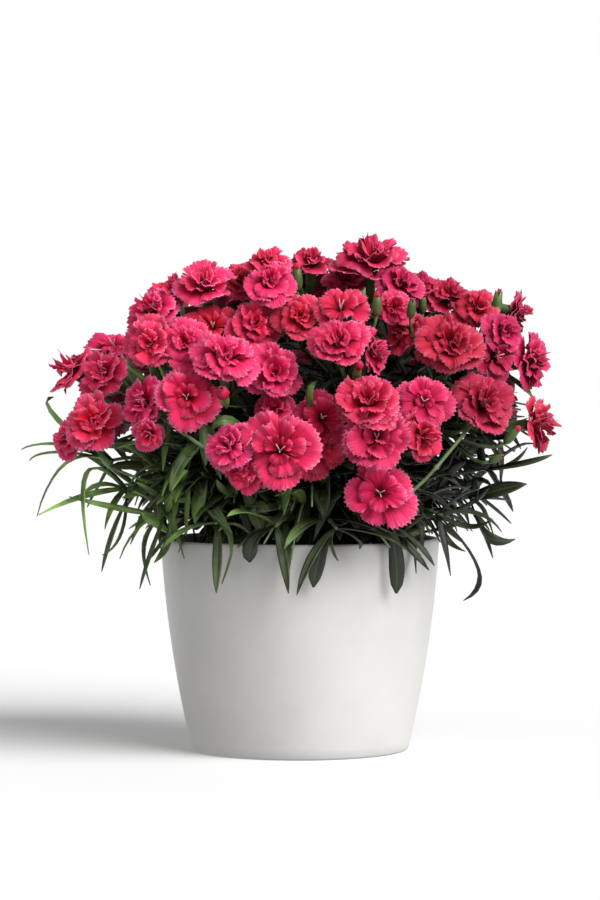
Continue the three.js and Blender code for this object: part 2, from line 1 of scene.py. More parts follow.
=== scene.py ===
# A potted dwarf dianthus: a white glazed pot, dark potting soil, nine leafy stems that fork into
# flower stalks, and double crimson-pink blooms. The plant is laid out in millimetres, by the
# same rule as its solids, and a mesh is made in metres.
import math

import bmesh
import bpy
import numpy as np
from mathutils import Matrix, Vector, noise


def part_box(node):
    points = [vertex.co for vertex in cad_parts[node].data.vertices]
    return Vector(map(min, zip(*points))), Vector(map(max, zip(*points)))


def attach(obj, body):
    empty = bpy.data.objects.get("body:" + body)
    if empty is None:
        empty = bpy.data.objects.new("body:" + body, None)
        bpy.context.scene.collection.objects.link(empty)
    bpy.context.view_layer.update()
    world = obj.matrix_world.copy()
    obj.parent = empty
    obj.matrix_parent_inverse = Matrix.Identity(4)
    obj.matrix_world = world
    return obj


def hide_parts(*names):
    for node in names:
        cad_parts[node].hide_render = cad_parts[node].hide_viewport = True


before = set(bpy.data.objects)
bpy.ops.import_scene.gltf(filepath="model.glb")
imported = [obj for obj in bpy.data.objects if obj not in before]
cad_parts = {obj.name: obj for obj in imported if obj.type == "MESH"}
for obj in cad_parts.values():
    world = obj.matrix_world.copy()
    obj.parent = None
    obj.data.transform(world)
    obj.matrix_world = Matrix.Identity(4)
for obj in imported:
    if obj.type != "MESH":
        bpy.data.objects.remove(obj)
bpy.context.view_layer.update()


# ---- Pot ----------------------------------------------------------------------------------------
# A slip-cast earthenware cover pot: a thin, gently bellied wall from a flat foot to a rounded
# rim. Its profile is spun about the pot's axis, and it is dipped in a white satin glaze.
MM = 0.001
RIM_RADIUS, _, POT_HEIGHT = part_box("pot")[1] / MM
FOOT_RADIUS = 56.3
BELLY_RADIUS = 69.5
POT_WALL = 3.5
POT_FLOOR = 5
FOOT_BEVEL = 1.2
POT_TURNS = 128
POT_CORNER = 4  # mm, left to the roundings at the rim and at the floor
WALL_STEPS = 24
INSIDE_STEPS = 10
RIM_STEPS = 9
RIM_START = 0.15  # radians round the rim's edge
GLAZE_WHITE = "#eceae7"
GLAZE_SHADE = "#e2e1de"
GLAZE_CLOUD = 45  # mm, how wide the glaze's faint clouds are
GLAZE_PEEL = 2.5  # mm, the fine unevenness that softens its highlights


def colour(text):
    """A linear RGBA colour from sRGB hex."""
    parts = [int(text[i:i + 2], 16) / 255 for i in (1, 3, 5)]
    return [p / 12.92 if p <= 0.04045 else ((p + 0.055) / 1.055) ** 2.4 for p in parts] + [1]


def surface(name, sockets):
    """A new material, with fixed values on its shader's own sockets."""
    material = bpy.data.materials.new(name)
    material.use_nodes = True
    shader = material.node_tree.nodes["Principled BSDF"]
    for socket, value in sockets.items():
        shader.inputs[socket].default_value = value
    return material, shader


def add(material, kind, sockets, stops=(), **settings):
    """Adds a node with its settings, fixed values and links, and gives its outputs."""
    tree = material.node_tree
    made = tree.nodes.new("ShaderNode" + kind)
    for setting, value in settings.items():
        setattr(made, setting, value)
    for socket, value in sockets.items():
        if isinstance(value, bpy.types.NodeSocket):
            tree.links.new(value, made.inputs[socket])
        else:
            made.inputs[socket].default_value = value
    if stops:
        ramp = made.color_ramp.elements
        for end, (place, text) in zip(ramp, (stops[0], stops[-1])):
            end.position, end.color = place, colour(text)
        for place, text in stops[1:-1]:
            ramp.new(place).color = colour(text)
    return made.outputs


def link(material, output, shader, socket):
    material.node_tree.links.new(output, shader.inputs[socket])


def placed(name, data):
    made = bpy.data.objects.new(name, data)
    bpy.context.scene.collection.objects.link(made)
    return made


def finished(name, bm, materials):
    mesh = bpy.data.meshes.new(name)
    bm.to_mesh(mesh)
    bm.free()
    mesh.shade_smooth()
    for material in materials:
        mesh.materials.append(material)
    return placed(name, mesh)


def piece(name, bm, materials, slot, *nodes):
    """The finished mesh as a piece that rides on the pot's body and stands for these nodes."""
    made = finished(name, bm, materials)
    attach(made, "root")
    if nodes:
        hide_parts(*nodes)
    return made


def pot_radius(height):
    t = height / POT_HEIGHT
    return (1 - t) ** 2 * FOOT_RADIUS + 2 * t * (1 - t) * BELLY_RADIUS + t ** 2 * RIM_RADIUS


def spun(bm, profile, turns):
    """Spins a profile of (radius, height) about the axis into a closed skin."""
    verts = [bm.verts.new((radius * MM, 0, height * MM)) for radius, height in profile]
    edges = [bm.edges.new(pair) for pair in zip(verts, verts[1:])]
    bmesh.ops.spin(
        bm, geom=verts + edges, axis=(0, 0, 1), cent=(0, 0, 0), angle=2 * math.pi,
        steps=turns, use_merge=True,
    )
    bmesh.ops.remove_doubles(bm, verts=bm.verts, dist=1e-6)
    bmesh.ops.recalc_face_normals(bm, faces=bm.faces)


rim_arc = [
    (
        RIM_RADIUS - POT_WALL / 2 + math.cos(angle) * POT_WALL / 2,
        POT_HEIGHT - POT_WALL / 2 + math.sin(angle) * POT_WALL / 2,
    )
    for angle in np.linspace(RIM_START, math.pi - RIM_START, RIM_STEPS)
]
outside = np.linspace(FOOT_BEVEL, POT_HEIGHT - POT_CORNER, WALL_STEPS)
inside = np.linspace(POT_HEIGHT - POT_CORNER, POT_FLOOR + POT_CORNER, INSIDE_STEPS)
pot_profile = [
    (0, 0),
    (FOOT_RADIUS - FOOT_BEVEL, 0),
    (FOOT_RADIUS - FOOT_BEVEL / 3, FOOT_BEVEL / 3),
    *[(pot_radius(height), height) for height in outside],
    *rim_arc,
    *[(pot_radius(height) - POT_WALL, height) for height in inside],
    (pot_radius(POT_FLOOR) - POT_WALL - POT_CORNER, POT_FLOOR),
    (0, POT_FLOOR),
]

# Satin white tin glaze over a fired body: nearly matt, with a broad soft highlight.
satin_glaze, shader = surface("satin_white_glaze", {
    "IOR": 1.5, "Coat Weight": 0.15, "Coat Roughness": 0.25,
})
place = add(satin_glaze, "TexCoord", {})["Object"]
cloud = add(satin_glaze, "TexNoise", {"Vector": place, "Scale": 1 / GLAZE_CLOUD / MM, "Detail": 3})
tint = add(satin_glaze, "ValToRGB", {"Fac": cloud["Fac"]}, [(0.35, GLAZE_SHADE), (0.65, GLAZE_WHITE)])
sheen = add(satin_glaze, "MapRange", {"Value": cloud["Fac"], "To Min": 0.42, "To Max": 0.52})
peel = add(satin_glaze, "TexNoise", {"Vector": place, "Scale": 1 / GLAZE_PEEL / MM, "Detail": 2})
relief = add(satin_glaze, "Bump", {"Height": peel["Fac"], "Strength": 0.06, "Distance": 0.3 * MM})
link(satin_glaze, tint["Color"], shader, "Base Color")
link(satin_glaze, sheen["Result"], shader, "Roughness")
link(satin_glaze, relief["Normal"], shader, "Normal")

bm = bmesh.new()
spun(bm, pot_profile, POT_TURNS)
piece("glazed_pot", bm, [satin_glaze], "glaze", "pot")


# ---- Soil ---------------------------------------------------------------------------------------
# Damp peat compost, which fills the pot to a finger's breadth below the rim. A spun body with
# its top broken up by noise, and loose crumbs that lie on it.
SOIL_TOP = 100
SOIL_GAP = 0.6  # to the pot's wall
SOIL_RINGS = 17
SOIL_TURNS = 72
SOIL_LUMP = 9  # mm across
SOIL_RISE = 1.5
CRUMBS = 320
CRUMB_SIZE = (0.8, 2.2)
CRUMB_LIFT = (-0.3, 0.9)
CRUMB_EDGE = 3  # mm, without crumbs along the wall
SOIL_WAIST = 55  # mm, a height where the sides follow the pot's wall
SOIL_SEED = 77
PEAT_GRAIN = 3.5  # mm
PEAT_DARK = "#150e0a"
PEAT_BROWN = "#3b2a1e"
MODULUS = 2147483647


def seeded(start):
    """Draws that are the same at each run."""
    state = (start * 7919 + 104729) % MODULUS

    def draw(low, high):
        nonlocal state
        state = state * 16807 % MODULUS
        return low + (high - low) * (state / MODULUS)

    return draw


damp_peat, shader = surface("damp_peat_compost", {"Roughness": 0.95})
place = add(damp_peat, "TexCoord", {})["Object"]
grain = add(damp_peat, "TexNoise", {
    "Vector": place, "Scale": 1 / PEAT_GRAIN / MM, "Detail": 6, "Roughness": 0.7,
})
tint = add(damp_peat, "ValToRGB", {"Fac": grain["Fac"]}, [(0.38, PEAT_DARK), (0.7, PEAT_BROWN)])
relief = add(damp_peat, "Bump", {"Height": grain["Fac"], "Strength": 0.8, "Distance": 1.2 * MM})
link(damp_peat, tint["Color"], shader, "Base Color")
link(damp_peat, relief["Normal"], shader, "Normal")

soil_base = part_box("soil")[0].z / MM
soil_rim = pot_radius(SOIL_TOP) - POT_WALL - SOIL_GAP
bm = bmesh.new()
spun(bm, [
    (0, soil_base),
    (pot_radius(soil_base) - POT_WALL - SOIL_GAP, soil_base),
    (pot_radius(SOIL_WAIST) - POT_WALL - SOIL_GAP, SOIL_WAIST),
    *[(radius, SOIL_TOP) for radius in np.linspace(soil_rim, 0, SOIL_RINGS)],
], SOIL_TURNS)
for vert in bm.verts:
    if vert.co.z > (SOIL_TOP - 1) * MM:
        vert.co.z += noise.noise(vert.co / (SOIL_LUMP * MM)) * SOIL_RISE * MM
draw = seeded(SOIL_SEED)
for _ in range(CRUMBS):
    turn, out = draw(0, 2 * math.pi), math.sqrt(draw(0, 1)) * (soil_rim - CRUMB_EDGE)
    spot = Vector((math.cos(turn) * out, math.sin(turn) * out, SOIL_TOP + draw(*CRUMB_LIFT))) * MM
    size = draw(*CRUMB_SIZE)
    lie = Matrix.Rotation(draw(0, 3), 4, "X") @ Matrix.Rotation(draw(0, 3), 4, "Z")
    squash = Matrix.Diagonal((size, size * draw(0.6, 1), size * draw(0.5, 0.9), 1))
    bmesh.ops.create_icosphere(
        bm, subdivisions=1, radius=MM, matrix=Matrix.Translation(spot) @ lie @ squash,
    )
piece("potting_soil", bm, [damp_peat], "soil", "soil")


# ---- Where the blooms sit -----------------------------------------------------------------------
# The blooms press together on a dome above the pot. Each bunch keeps its place as seen from the
# front, and moves back until it is clear of those before it; the back is filled by the same rule.
ROOM = 0.5  # kept between pieces that pass each other
GAP = 0.3  # between pieces that touch on the real plant
CALYX_LENGTH = 15
CALYX_RADIUS = 2.9
DOME_MIDDLE = 166
DOME_WIDE = 132
DOME_DEEP = 112
DOME_HIGH = 98
DOME_EDGE = 0.01  # the least share of its depth, squared, out at its edge
EYE_DISTANCE = 1800
EYE_RISE = math.radians(1.6)
EYE_AIM = 155.5

# Each bloom: across, up, width, turn to the right, rise, mm behind the dome.
FRONT_BUNCHES = [
    [[42, 134, 36, 5, 12, 0]],
    [[-11, 156, 42, -5, 12, -4], [-38, 158, 27, -35, 18, 0], [-31, 145, 24, -40, -5, 0]],
    [[35, 182, 34, -5, 42, 2], [40, 163, 36, -3, 22, -2]],
    [[9, 157, 31, 14, 12, 0], [12, 173, 31, 8, 16, 0]],
    [[65, 182, 30, 10, 22, 2], [65, 163, 27, 32, 10, 0]],
    [[-59, 184, 33, 0, 16, 0]],
    [[96, 181, 35, 28, 36, 0]],
    [[78, 213, 37, 0, 40, 0]],
    [[-39, 205, 34, 2, 48, -2]],
    [[20, 213, 29, -5, 36, 0]],
    [[21, 232, 30, -2, 42, 0]],
    [[-109, 171, 32, -26, 30, 0], [-122, 162, 23, -50, 12, -12]],
    [[-83, 180, 29, -48, 14, 2], [-79, 163, 18, -16, -26, 2]],
    [[-105, 196, 28, -44, 28, 2]],
    [[-120, 199, 33, -82, 44, 0]],
    [[125, 169, 31, 72, 4, 0]],
    [[123, 202, 31, 60, 10, 0]],
    [[104, 205, 28, 44, 14, 4], [107, 218, 24, 40, 24, -18]],
    [[-79, 211, 28, -24, 18, -8], [-60, 212, 29, -4, 28, 2]],
    [[0, 226, 26, 4, 28, 2]],
    [[-16, 244, 27, 0, 42, 0], [-17, 255, 24, 0, 56, -10]],
    [[-50, 243, 31, -10, 52, 0]],
    [[-23, 222, 28, 10, 26, 2]],
    [[-46, 222, 27, 2, 40, 0]],
    [[-77, 230, 31, -34, 42, 0], [-67, 240, 24, -14, 60, 2]],
    [[37, 257, 40, 2, 72, -6], [53, 244, 25, 28, 40, 4]],
    [[24, 246, 24, -10, 50, 4]],
    [[92, 230, 26, 12, 42, 0]],
    [[-101, 213, 27, -24, 62, -6]],
    [[114, 226, 25, 84, -18, 10]],
    [[78, 238, 26, 12, 46, 0], [64, 241, 22, 10, 44, 6]],
    [[54, 218, 24, -42, 30, 10]],
    [[40, 207, 26, 68, 6, 10]],
    [[49, 230, 21, 12, 10, 12]],
    [[6, 255, 21, 4, 62, 12]],
    [[-31, 245, 24, -12, 36, 6]],
    [[-13, 196, 30, 6, 24, 20]],
    [[-14, 176, 23, -10, 30, 10]],
]

# Each back bunch: turn and rise in degrees; its blooms: mm along and up from its middle.
BACK_BUNCHES = [
    [118, 12], [156, -10], [197, -7], [242, 11], [148, 26], [183, 19], [217, 27],
    [122, 48], [181, 51], [236, 49], [190, 80],
]
BACK_BUNCH = [[-12, -7], [12, -7], [0, 13]]
BACK_TWIST = 60
BACK_TURN = 1  # degrees that a bloom's turn and rise vary by
BACK_WIDTH = 33
BACK_SPREAD = 3  # that its width varies by
BACK_SEED = 55
BACK_WIDE = 118  # the dome is a little smaller behind
BACK_DEEP = 96
BACK_HIGH = 89

# Balls that stand for a bloom's room: count, reach, height and radius in half widths.
BLOOM_BALLS = [[14, 0.86, 0.42, 0.16], [6, 0.5, 0.46, 0.28], [1, 0, 0.4, 0.34]]
CALYX_BALLS = [0.15, 0.4, 0.65, 0.9]
BUNCH_STEPS = 60  # of a millimetre, at most, that a bunch moves back
MOST_IN_BUNCH = 4
SOIL_BUMP = 1.6
OFF_AXIS = (0.21, 0.37, 0.9)  # a direction that no bloom faces


def point(*xyz):
    return np.array(xyz, float)


def unit(vector):
    return vector / np.linalg.norm(vector)


def turned(vector, axis, angle):
    """The vector turned about a unit axis."""
    return (
        vector * math.cos(angle)
        + np.cross(axis, vector) * math.sin(angle)
        + axis * (axis @ vector) * (1 - math.cos(angle))
    )


def as_seen(across, up, depth):
    """The true place of a point that lines up with (across, up) from the front, at a given depth."""
    rise, sin, cos = up - EYE_AIM, math.sin(EYE_RISE), math.cos(EYE_RISE)
    height = rise * (EYE_DISTANCE + depth * cos) - EYE_DISTANCE * depth * sin
    height /= EYE_DISTANCE * cos + rise * sin
    scale = (EYE_DISTANCE + depth * cos - height * sin) / EYE_DISTANCE
    return point(across * scale, depth, EYE_AIM + height)


def facing(turn, rise):
    turn, rise = math.radians(turn), math.radians(rise)
    return point(math.sin(turn) * math.cos(rise), -math.cos(turn) * math.cos(rise), math.sin(rise))


# Room that is taken: balls as x, y, z and radius, and whose they are.
taken = np.zeros((0, 4))
owners = np.zeros(0, int)
FIRST_BUNCH = 100  # stems own 0 to 8, bunches of blooms this and more


def is_clear(balls, owner, among=None):
    """Whether the balls keep their room from what is taken, apart from what the owner has."""
    other = owners != owner if among is None else among
    if not other.any() or not len(balls):
        return True
    apart = np.linalg.norm(balls[:, None, :3] - taken[None, other, :3], axis=2)
    return bool((apart > balls[:, None, 3] + taken[None, other, 3] + ROOM).all())


def claim(balls, owner):
    global taken, owners
    taken = np.vstack([taken, balls])
    owners = np.append(owners, np.full(len(balls), owner))


def is_clear_of_pot(balls):
    out, height, radius = np.hypot(balls[:, 0], balls[:, 1]), balls[:, 2], balls[:, 3]
    above = height > POT_HEIGHT + radius + GAP
    inside = (height > SOIL_TOP + SOIL_BUMP + radius) & (out < RIM_RADIUS - POT_WALL - radius - 2 * GAP)
    beside = (height > radius) & (out > pot_radius(np.minimum(height, POT_HEIGHT)) + radius + GAP)
    return bool((above | inside | beside).all())


def first_side(axis):
    return unit(np.cross(point(*OFF_AXIS), axis))


def bloom_balls(bloom):
    half, side, axis = bloom["width"] / 2, first_side(bloom["axis"]), bloom["axis"]
    balls = []
    for count, reach, height, radius in BLOOM_BALLS:
        for i in range(count):
            out = turned(side, axis, i * 2 * math.pi / count) * reach * half
            balls.append([*(out + axis * height * half + bloom["claw"]), radius * half])
    balls += [[*(bloom["claw"] - axis * part * CALYX_LENGTH), CALYX_RADIUS] for part in CALYX_BALLS]
    return np.array(balls)


def dome_front(across, up, least):
    """How far the dome stands out to the front at a place."""
    level = 1 - (across / DOME_WIDE) ** 2 - ((up - DOME_MIDDLE) / DOME_HIGH) ** 2
    return DOME_DEEP * math.sqrt(max(level, least))


def front_bloom(across, up, width, turn, rise, behind):
    place = as_seen(across, up, behind - dome_front(across, up, DOME_EDGE))
    axis = facing(turn, rise)
    return {"axis": axis, "claw": place - axis * width / 4, "width": width, "back": False}


def back_bunch(middle, height, draw):
    aim = math.radians(middle)
    reach = math.hypot(math.cos(aim) * BACK_WIDE, math.sin(aim) * BACK_DEEP)
    twist = math.radians(draw(-BACK_TWIST, BACK_TWIST))
    for x, z in BACK_BUNCH:
        across = x * math.cos(twist) - z * math.sin(twist)
        up = x * math.sin(twist) + z * math.cos(twist)
        rise = height + math.degrees(up / BACK_HIGH) + draw(-BACK_TURN, BACK_TURN)
        turn = middle + math.degrees(across / reach / math.cos(math.radians(height)))
        turn += draw(-BACK_TURN, BACK_TURN)
        axis, width = facing(turn, rise), BACK_WIDTH + draw(-BACK_SPREAD, BACK_SPREAD)
        claw = axis * point(BACK_WIDE, BACK_DEEP, BACK_HIGH) + point(0, 0, DOME_MIDDLE)
        yield {"axis": axis, "claw": claw - axis * width / 4, "width": width, "back": True}


bunches = [[front_bloom(*row) for row in rows] for rows in FRONT_BUNCHES]
bunches += [list(back_bunch(*row, seeded(k + BACK_SEED))) for k, row in enumerate(BACK_BUNCHES)]
for b, bunch in enumerate(bunches):
    back = -bunch[0]["axis"] if bunch[0]["back"] else point(0, 1, 0)
    for _ in range(BUNCH_STEPS):
        balls = np.vstack([bloom_balls(bloom) for bloom in bunch])
        if is_clear(balls, FIRST_BUNCH + b) and is_clear_of_pot(balls):
            break
        for bloom in bunch:
            bloom["claw"] = bloom["claw"] + back
    claim(balls, FIRST_BUNCH + b)
    for i, bloom in enumerate(bunch):
        bloom["number"] = b * MOST_IN_BUNCH + i
blooms = [bloom for bunch in bunches for bloom in bunch]


# ---- Stems, stalks and calyces ------------------------------------------------------------------
# Nine stems rise from the soil and fork into a stalk for each bloom. All are round and jointed,
# and each stalk ends in a green calyx, a tube with five teeth that holds the petals' claws.
STEM_COUNT = 9
STEM_RADIUS = 2.1
STEM_STOPS = [0.28, 0.4, 0.55, 0.7, 0.85, 0.98]
HOLE_DEPTH = 18
FOOT_SPREAD = 34  # how far from the middle the outmost stem leaves the soil
FIRST_STEM_TURN = 0.6
STEM_STRAIGHT = 18  # height above the soil of the curve's two handles
STEM_LEAN = 42
LEAN_NEAR = 8  # reach of the upper handle: the inmost stem's, and what the outmost adds
LEAN_FAR = 44
TIP_NEAR = 12  # reach of the tip, likewise
TIP_FAR = 62
TIP_HEIGHT = 182
TIP_DROP = 34
STEM_RINGS = 16
STEM_TONE = 0.75
FOOT_SWELL = 1.1  # of the radius, at a stem's foot
STEM_THINNING = 0.5  # of the radius, from foot to tip
BALL_STEP = 1.6  # radii between the balls that stand for a stem's room
STALK_RADIUS = 1.15
STALK_STOPS = [0, 0.15, 0.6, 1]
STALK_STARTS = [0.7, 0.55, 0.85, 0.4, 0.98]  # places along a stem, best first
STALK_SEED = 900
SEAT_ROOM = 3.2  # about a calyx, which only its own stalk enters
FORK_ROOM = 9  # about a fork, where stalks of one stem touch
BOWS = [0.33, 0.5, 0.2, 0.7]  # handles of a stalk's curve, in shares of its span
SHOWN_STALKS = [  # low, bend, tip: young pale stalks that lean out before the leaves
    [[52, 118, -84], [70, 146, -92], [92, 172, -70]],
    [[-40, 142, -84], [-58, 166, -102], [-84, 180, -72]],
]
SHOWN_RADIUS = 0.9
SHOWN_TONE = 1.2
OFF_STEM = (0.31, 0.94, 0.12)  # a direction that no stem takes
NO_ONE = -1  # an owner that has nothing, so that no room is left out
RING_STEP = 9  # mm from ring to ring of a stalk's mesh
JOINT_STEP = 17  # mm from joint to joint of a stalk
JOINT_START = 8  # mm of its foot without a joint
JOINT_SWELL = 1.5
JOINT_CLEAR = 3  # mm about a joint without other rings
JOINT_BELOW = 1.6  # mm down to where its swelling ends
JOINT_ABOVE = 1.1
# Painted shade: the share of light left to leaves and stems deep inside the plant.
INNER_DARK = 0.16
# Places along a calyx, out to its mouth and back in, and shares of its radius.
CALYX_FORM = [(0, 0.42), (0.12, 0.78), (0.5, 0.92), (0.9, 1), (1, 1.08), (0.93, 0.8)]
CALYX_TEETH = 3.4  # mm long
CALYX_FLARE = 0.3
STEM_GREEN = "#4f6b35"
STEM_GREY = "#7c9065"
CALYX_GREEN = "#4c6a2e"
CALYX_TIP = "#728348"


def on_curve(curve, t):
    """The point at t of a Bezier curve with these control points."""
    while len(curve) > 1:
        curve = curve[:-1] * (1 - t) + curve[1:] * t
    return curve[0]


def along(curve, t):
    return unit(on_curve(curve[1:] - curve[:-1], t))


def roots_near(spot, curves, places):
    """Owner, point and direction at these places of the curves, the nearest to a spot first."""
    roots = [(owner, on_curve(curve, t), along(curve, t)) for owner, curve in curves for t in places]
    return sorted(roots, key=lambda found: np.linalg.norm(found[1] - spot))


def tube_balls(curve, stops, radius):
    balls = []
    for low, high in zip(stops, stops[1:]):
        start, end = on_curve(curve, low), on_curve(curve, high)
        count = math.ceil(np.linalg.norm(end - start) / (BALL_STEP * radius))
        balls += [[*(start + (end - start) * (i + 0.5) / count), radius] for i in range(count)]
    return np.array(balls)


def main_stem(i):
    """A stem's curve; the stems stand in a spiral from the middle out."""
    turn = i * math.pi * (3 - math.sqrt(5)) + FIRST_STEM_TURN
    spread = math.sqrt((i + 0.3) / STEM_COUNT)
    foot = FOOT_SPREAD * spread
    reaches = [foot, foot, LEAN_NEAR + LEAN_FAR * spread, TIP_NEAR + TIP_FAR * spread]
    heights = [
        SOIL_TOP - HOLE_DEPTH + GAP, SOIL_TOP + STEM_STRAIGHT, SOIL_TOP + STEM_LEAN,
        TIP_HEIGHT - TIP_DROP * spread ** 2,
    ]
    return np.array([[math.cos(turn) * r, math.sin(turn) * r, h] for r, h in zip(reaches, heights)])


def route(target, arrive, starts, stops, radius, seat):
    """The first clear curve to the target from a stem, tried by stem, bow and starting place."""
    heading = unit(target - point(0, 0, SOIL_TOP))
    for owner in sorted(range(STEM_COUNT), key=lambda i: -(headings[i] @ heading)):
        for bow in BOWS:
            for start in starts:
                foot = on_curve(stems[owner], start)
                span = np.linalg.norm(target - foot)
                low, high = foot + along(stems[owner], start) * span * bow, target - arrive * span * bow
                curve = np.array([foot, low, high, target])
                balls = tube_balls(curve, stops, radius)
                far = np.linalg.norm(balls[:, :3] - foot, axis=1)
                balls, far = balls[far > STEM_RADIUS], far[far > STEM_RADIUS]
                is_free = np.linalg.norm(balls[:, :3] - target, axis=1) > seat
                if (
                    is_clear(balls[is_free], owner) and is_clear_of_pot(balls)
                    and is_clear(balls[is_free & (far > FORK_ROOM)], NO_ONE)
                ):
                    claim(balls, owner)
                    return owner, curve
    raise ValueError(f"no clear way to {target}")


stems = [main_stem(i) for i in range(STEM_COUNT)]
headings = [unit(stem[3] - point(0, 0, SOIL_TOP)) for stem in stems]
for i, stem in enumerate(stems):
    claim(tube_balls(stem, STEM_STOPS, STEM_RADIUS), i)
stalks = []
for bloom in blooms:
    mouth = bloom["claw"] - bloom["axis"] * GAP
    neck = mouth - bloom["axis"] * CALYX_LENGTH
    stalks.append(route(neck, bloom["axis"], STALK_STARTS, STALK_STOPS, STALK_RADIUS, SEAT_ROOM))


def by_tone(material, tint, **settings):
    """The colour, made lighter or darker by the piece's tone, which holds its own tone and also painted
    light and shade.
    """
    tone = add(material, "Attribute", {}, attribute_name="tone")["Fac"]
    sockets = {0: 1.0, 6: tint, 7: tone}
    return add(material, "Mix", sockets, data_type="RGBA", blend_type="MULTIPLY", **settings)[2]


def mottled(name, low, high, width, sockets):
    """A leaf or stem skin: two greens in patches of a width in mm, darkened by the piece's tone, which
    also carries painted light and shade.
    """
    material, shader = surface(name, sockets)
    place = add(material, "TexCoord", {})["Object"]
    patch = add(material, "TexNoise", {"Vector": place, "Scale": 1 / width / MM, "Detail": 3})
    tint = add(material, "ValToRGB", {"Fac": patch["Fac"]}, [(0.35, low), (0.65, high)])
    shade = by_tone(material, tint["Color"])
    link(material, shade, shader, "Base Color")
    return material, shader, place, shade


# Smooth young stem under a thin wax bloom, which greys it and keeps the shine soft.
stem_skin = mottled("waxy_stem", STEM_GREEN, STEM_GREY, 8, {"Roughness": 0.5})[0]
# Calyx of fused leaves: firm, ribbed and a little glossier than the stem.
calyx_skin = mottled("calyx", CALYX_GREEN, CALYX_TIP, 5, {"Roughness": 0.45})[0]


def dome_reach(spot):
    return np.linalg.norm((spot - point(0, 0, DOME_MIDDLE)) / point(DOME_WIDE, DOME_DEEP, DOME_HIGH))


def inner_shade(spot):
    """How light the green is at a place: painted shade that darkens leaves and stems deep inside the
    plant.
    """
    return float(np.interp(dome_reach(spot), [0.55, 1], [INNER_DARK, 1]))


def tube(bm, curve, stops, sides, tone, kind=0):
    """A round stem along a curve, with a ring at each (place, radius), closed at both ends. Its kind
    is 0 for a stem and 1 for a calyx."""
    side, rings, loops = point(*OFF_STEM), [], []
    shades = bm.verts.layers.float["tone"]
    for t, radius in stops:
        ahead = along(curve, t)
        side = unit(side - ahead * (side @ ahead))
        lie = np.eye(4)
        lie[:3] = np.column_stack([side, np.cross(ahead, side), ahead, on_curve(curve, t) * MM])
        lie = Matrix(lie)
        ring = bmesh.ops.create_circle(bm, segments=sides, radius=radius * MM, matrix=lie)["verts"]
        for vert in ring:
            vert[shades] = tone * inner_shade(on_curve(curve, t))
        rings.append(ring)
        loops.append(list({edge for vert in ring for edge in vert.link_edges}))
    faces = [bm.faces.new(rings[0][::-1]), bm.faces.new(rings[-1])]
    for low, high in zip(loops, loops[1:]):
        faces += bmesh.ops.bridge_loops(bm, edges=low + high)["faces"]
    for face in faces:
        face.material_index = kind
    bmesh.ops.recalc_face_normals(bm, faces=faces)
    return rings


def jointed(radius, length, joints, thin=1.0):
    """Rings of a stalk that swells at its joints and thins towards its end."""
    marks = {round(t, 4): 1.0 for t in np.linspace(0, 1, max(4, int(length / RING_STEP)))}
    for joint in joints:
        marks = {t: swell for t, swell in marks.items() if abs(t - joint) > JOINT_CLEAR / length}
        marks[joint - JOINT_BELOW / length] = 1.0
        marks[joint] = JOINT_SWELL
        marks[joint + JOINT_ABOVE / length] = 0.95
    return [(t, radius * swell * (1 - (1 - thin) * t)) for t, swell in sorted(marks.items())]


def joints_of(curve):
    """A stalk's length, and where its joints are."""
    line = [on_curve(curve, t) for t in np.linspace(0, 1, 20)]
    length = np.linalg.norm(np.diff(line, axis=0), axis=1).sum()
    jointed_part = length - JOINT_START
    count = int(jointed_part / JOINT_STEP)
    return length, [(JOINT_START + (i + 0.5) * jointed_part / count) / length for i in range(count)]


def new_plant_mesh():
    bm = bmesh.new()
    bm.verts.layers.float.new("tone")
    bm.loops.layers.uv.new("UVMap")
    return bm


def calyx(bm, neck, axis, length, radius, tone):
    """A tube that widens to a mouth with five teeth."""
    mouth = neck + axis * length
    stops = [(t, radius * share) for t, share in CALYX_FORM]
    rings = tube(bm, np.array([neck, mouth]), stops, 10, tone, 1)
    for vert in rings[-2][::2]:
        vert.co += Vector(axis * CALYX_TEETH * MM) + (vert.co - Vector(mouth * MM)) * CALYX_FLARE


plants, leaves = [new_plant_mesh() for _ in stems], [new_plant_mesh() for _ in stems]
for bm, stem in zip(plants, stems):
    rings = [
        (t, STEM_RADIUS * (FOOT_SWELL - STEM_THINNING * t)) for t in np.linspace(0.03, 1, STEM_RINGS)
    ]
    tube(bm, stem, rings, 8, STEM_TONE)
for bloom, (owner, curve) in zip(blooms, stalks):
    length, joints = joints_of(curve)
    draw = seeded(bloom["number"] + STALK_SEED)
    tube(plants[owner], curve, jointed(STALK_RADIUS, length, joints), 7, draw(0.8, 1.05))
    calyx(plants[owner], curve[3], bloom["axis"], CALYX_LENGTH, CALYX_RADIUS, draw(0.85, 1.05))
for places in SHOWN_STALKS:
    low, bend, tip = (as_seen(*place) for place in places)
    owner, root, _ = roots_near(low, stalks, np.linspace(0, 0.8, 9))[0]
    curve = np.array([root, low, bend, tip])
    length, joints = joints_of(curve)
    tube(plants[owner], curve, jointed(SHOWN_RADIUS, length, joints), 8, SHOWN_TONE)


# ---- Leafy shoots and leaves --------------------------------------------------------------------
# Narrow grassy leaves in opposite pairs at the joints, folded along a pale midrib and arched
# out. Sixteen shoots without flowers lean over the rim; more pairs stand along the stalks.
SHOOT_RADIUS = 1.5
SHOOT_STOPS = [0, 0.3, 0.7, 0.96]
SHOOT_STARTS = [0.28, 0.4]
SHOOT_DROOP = 0.25  # how much a shoot points down at its tip
SHOOT_THIN = 0.6  # its radius at the tip, as a share
SHOOT_TONE = 0.9
SHOOT_ENDS = [
    [-100, -12, 150], [-92, -34, 136], [-70, -52, 124], [-42, -74, 121],
    [-12, -86, 120], [18, -86, 119], [46, -74, 121], [72, -52, 124],
    [90, -24, 131], [100, 4, 145], [88, 38, 130], [60, 64, 124],
    [22, 86, 120], [-24, 86, 120], [-62, 64, 124], [-92, 28, 132],
]
POINTED = "pointed"
BLUNT = "blunt"
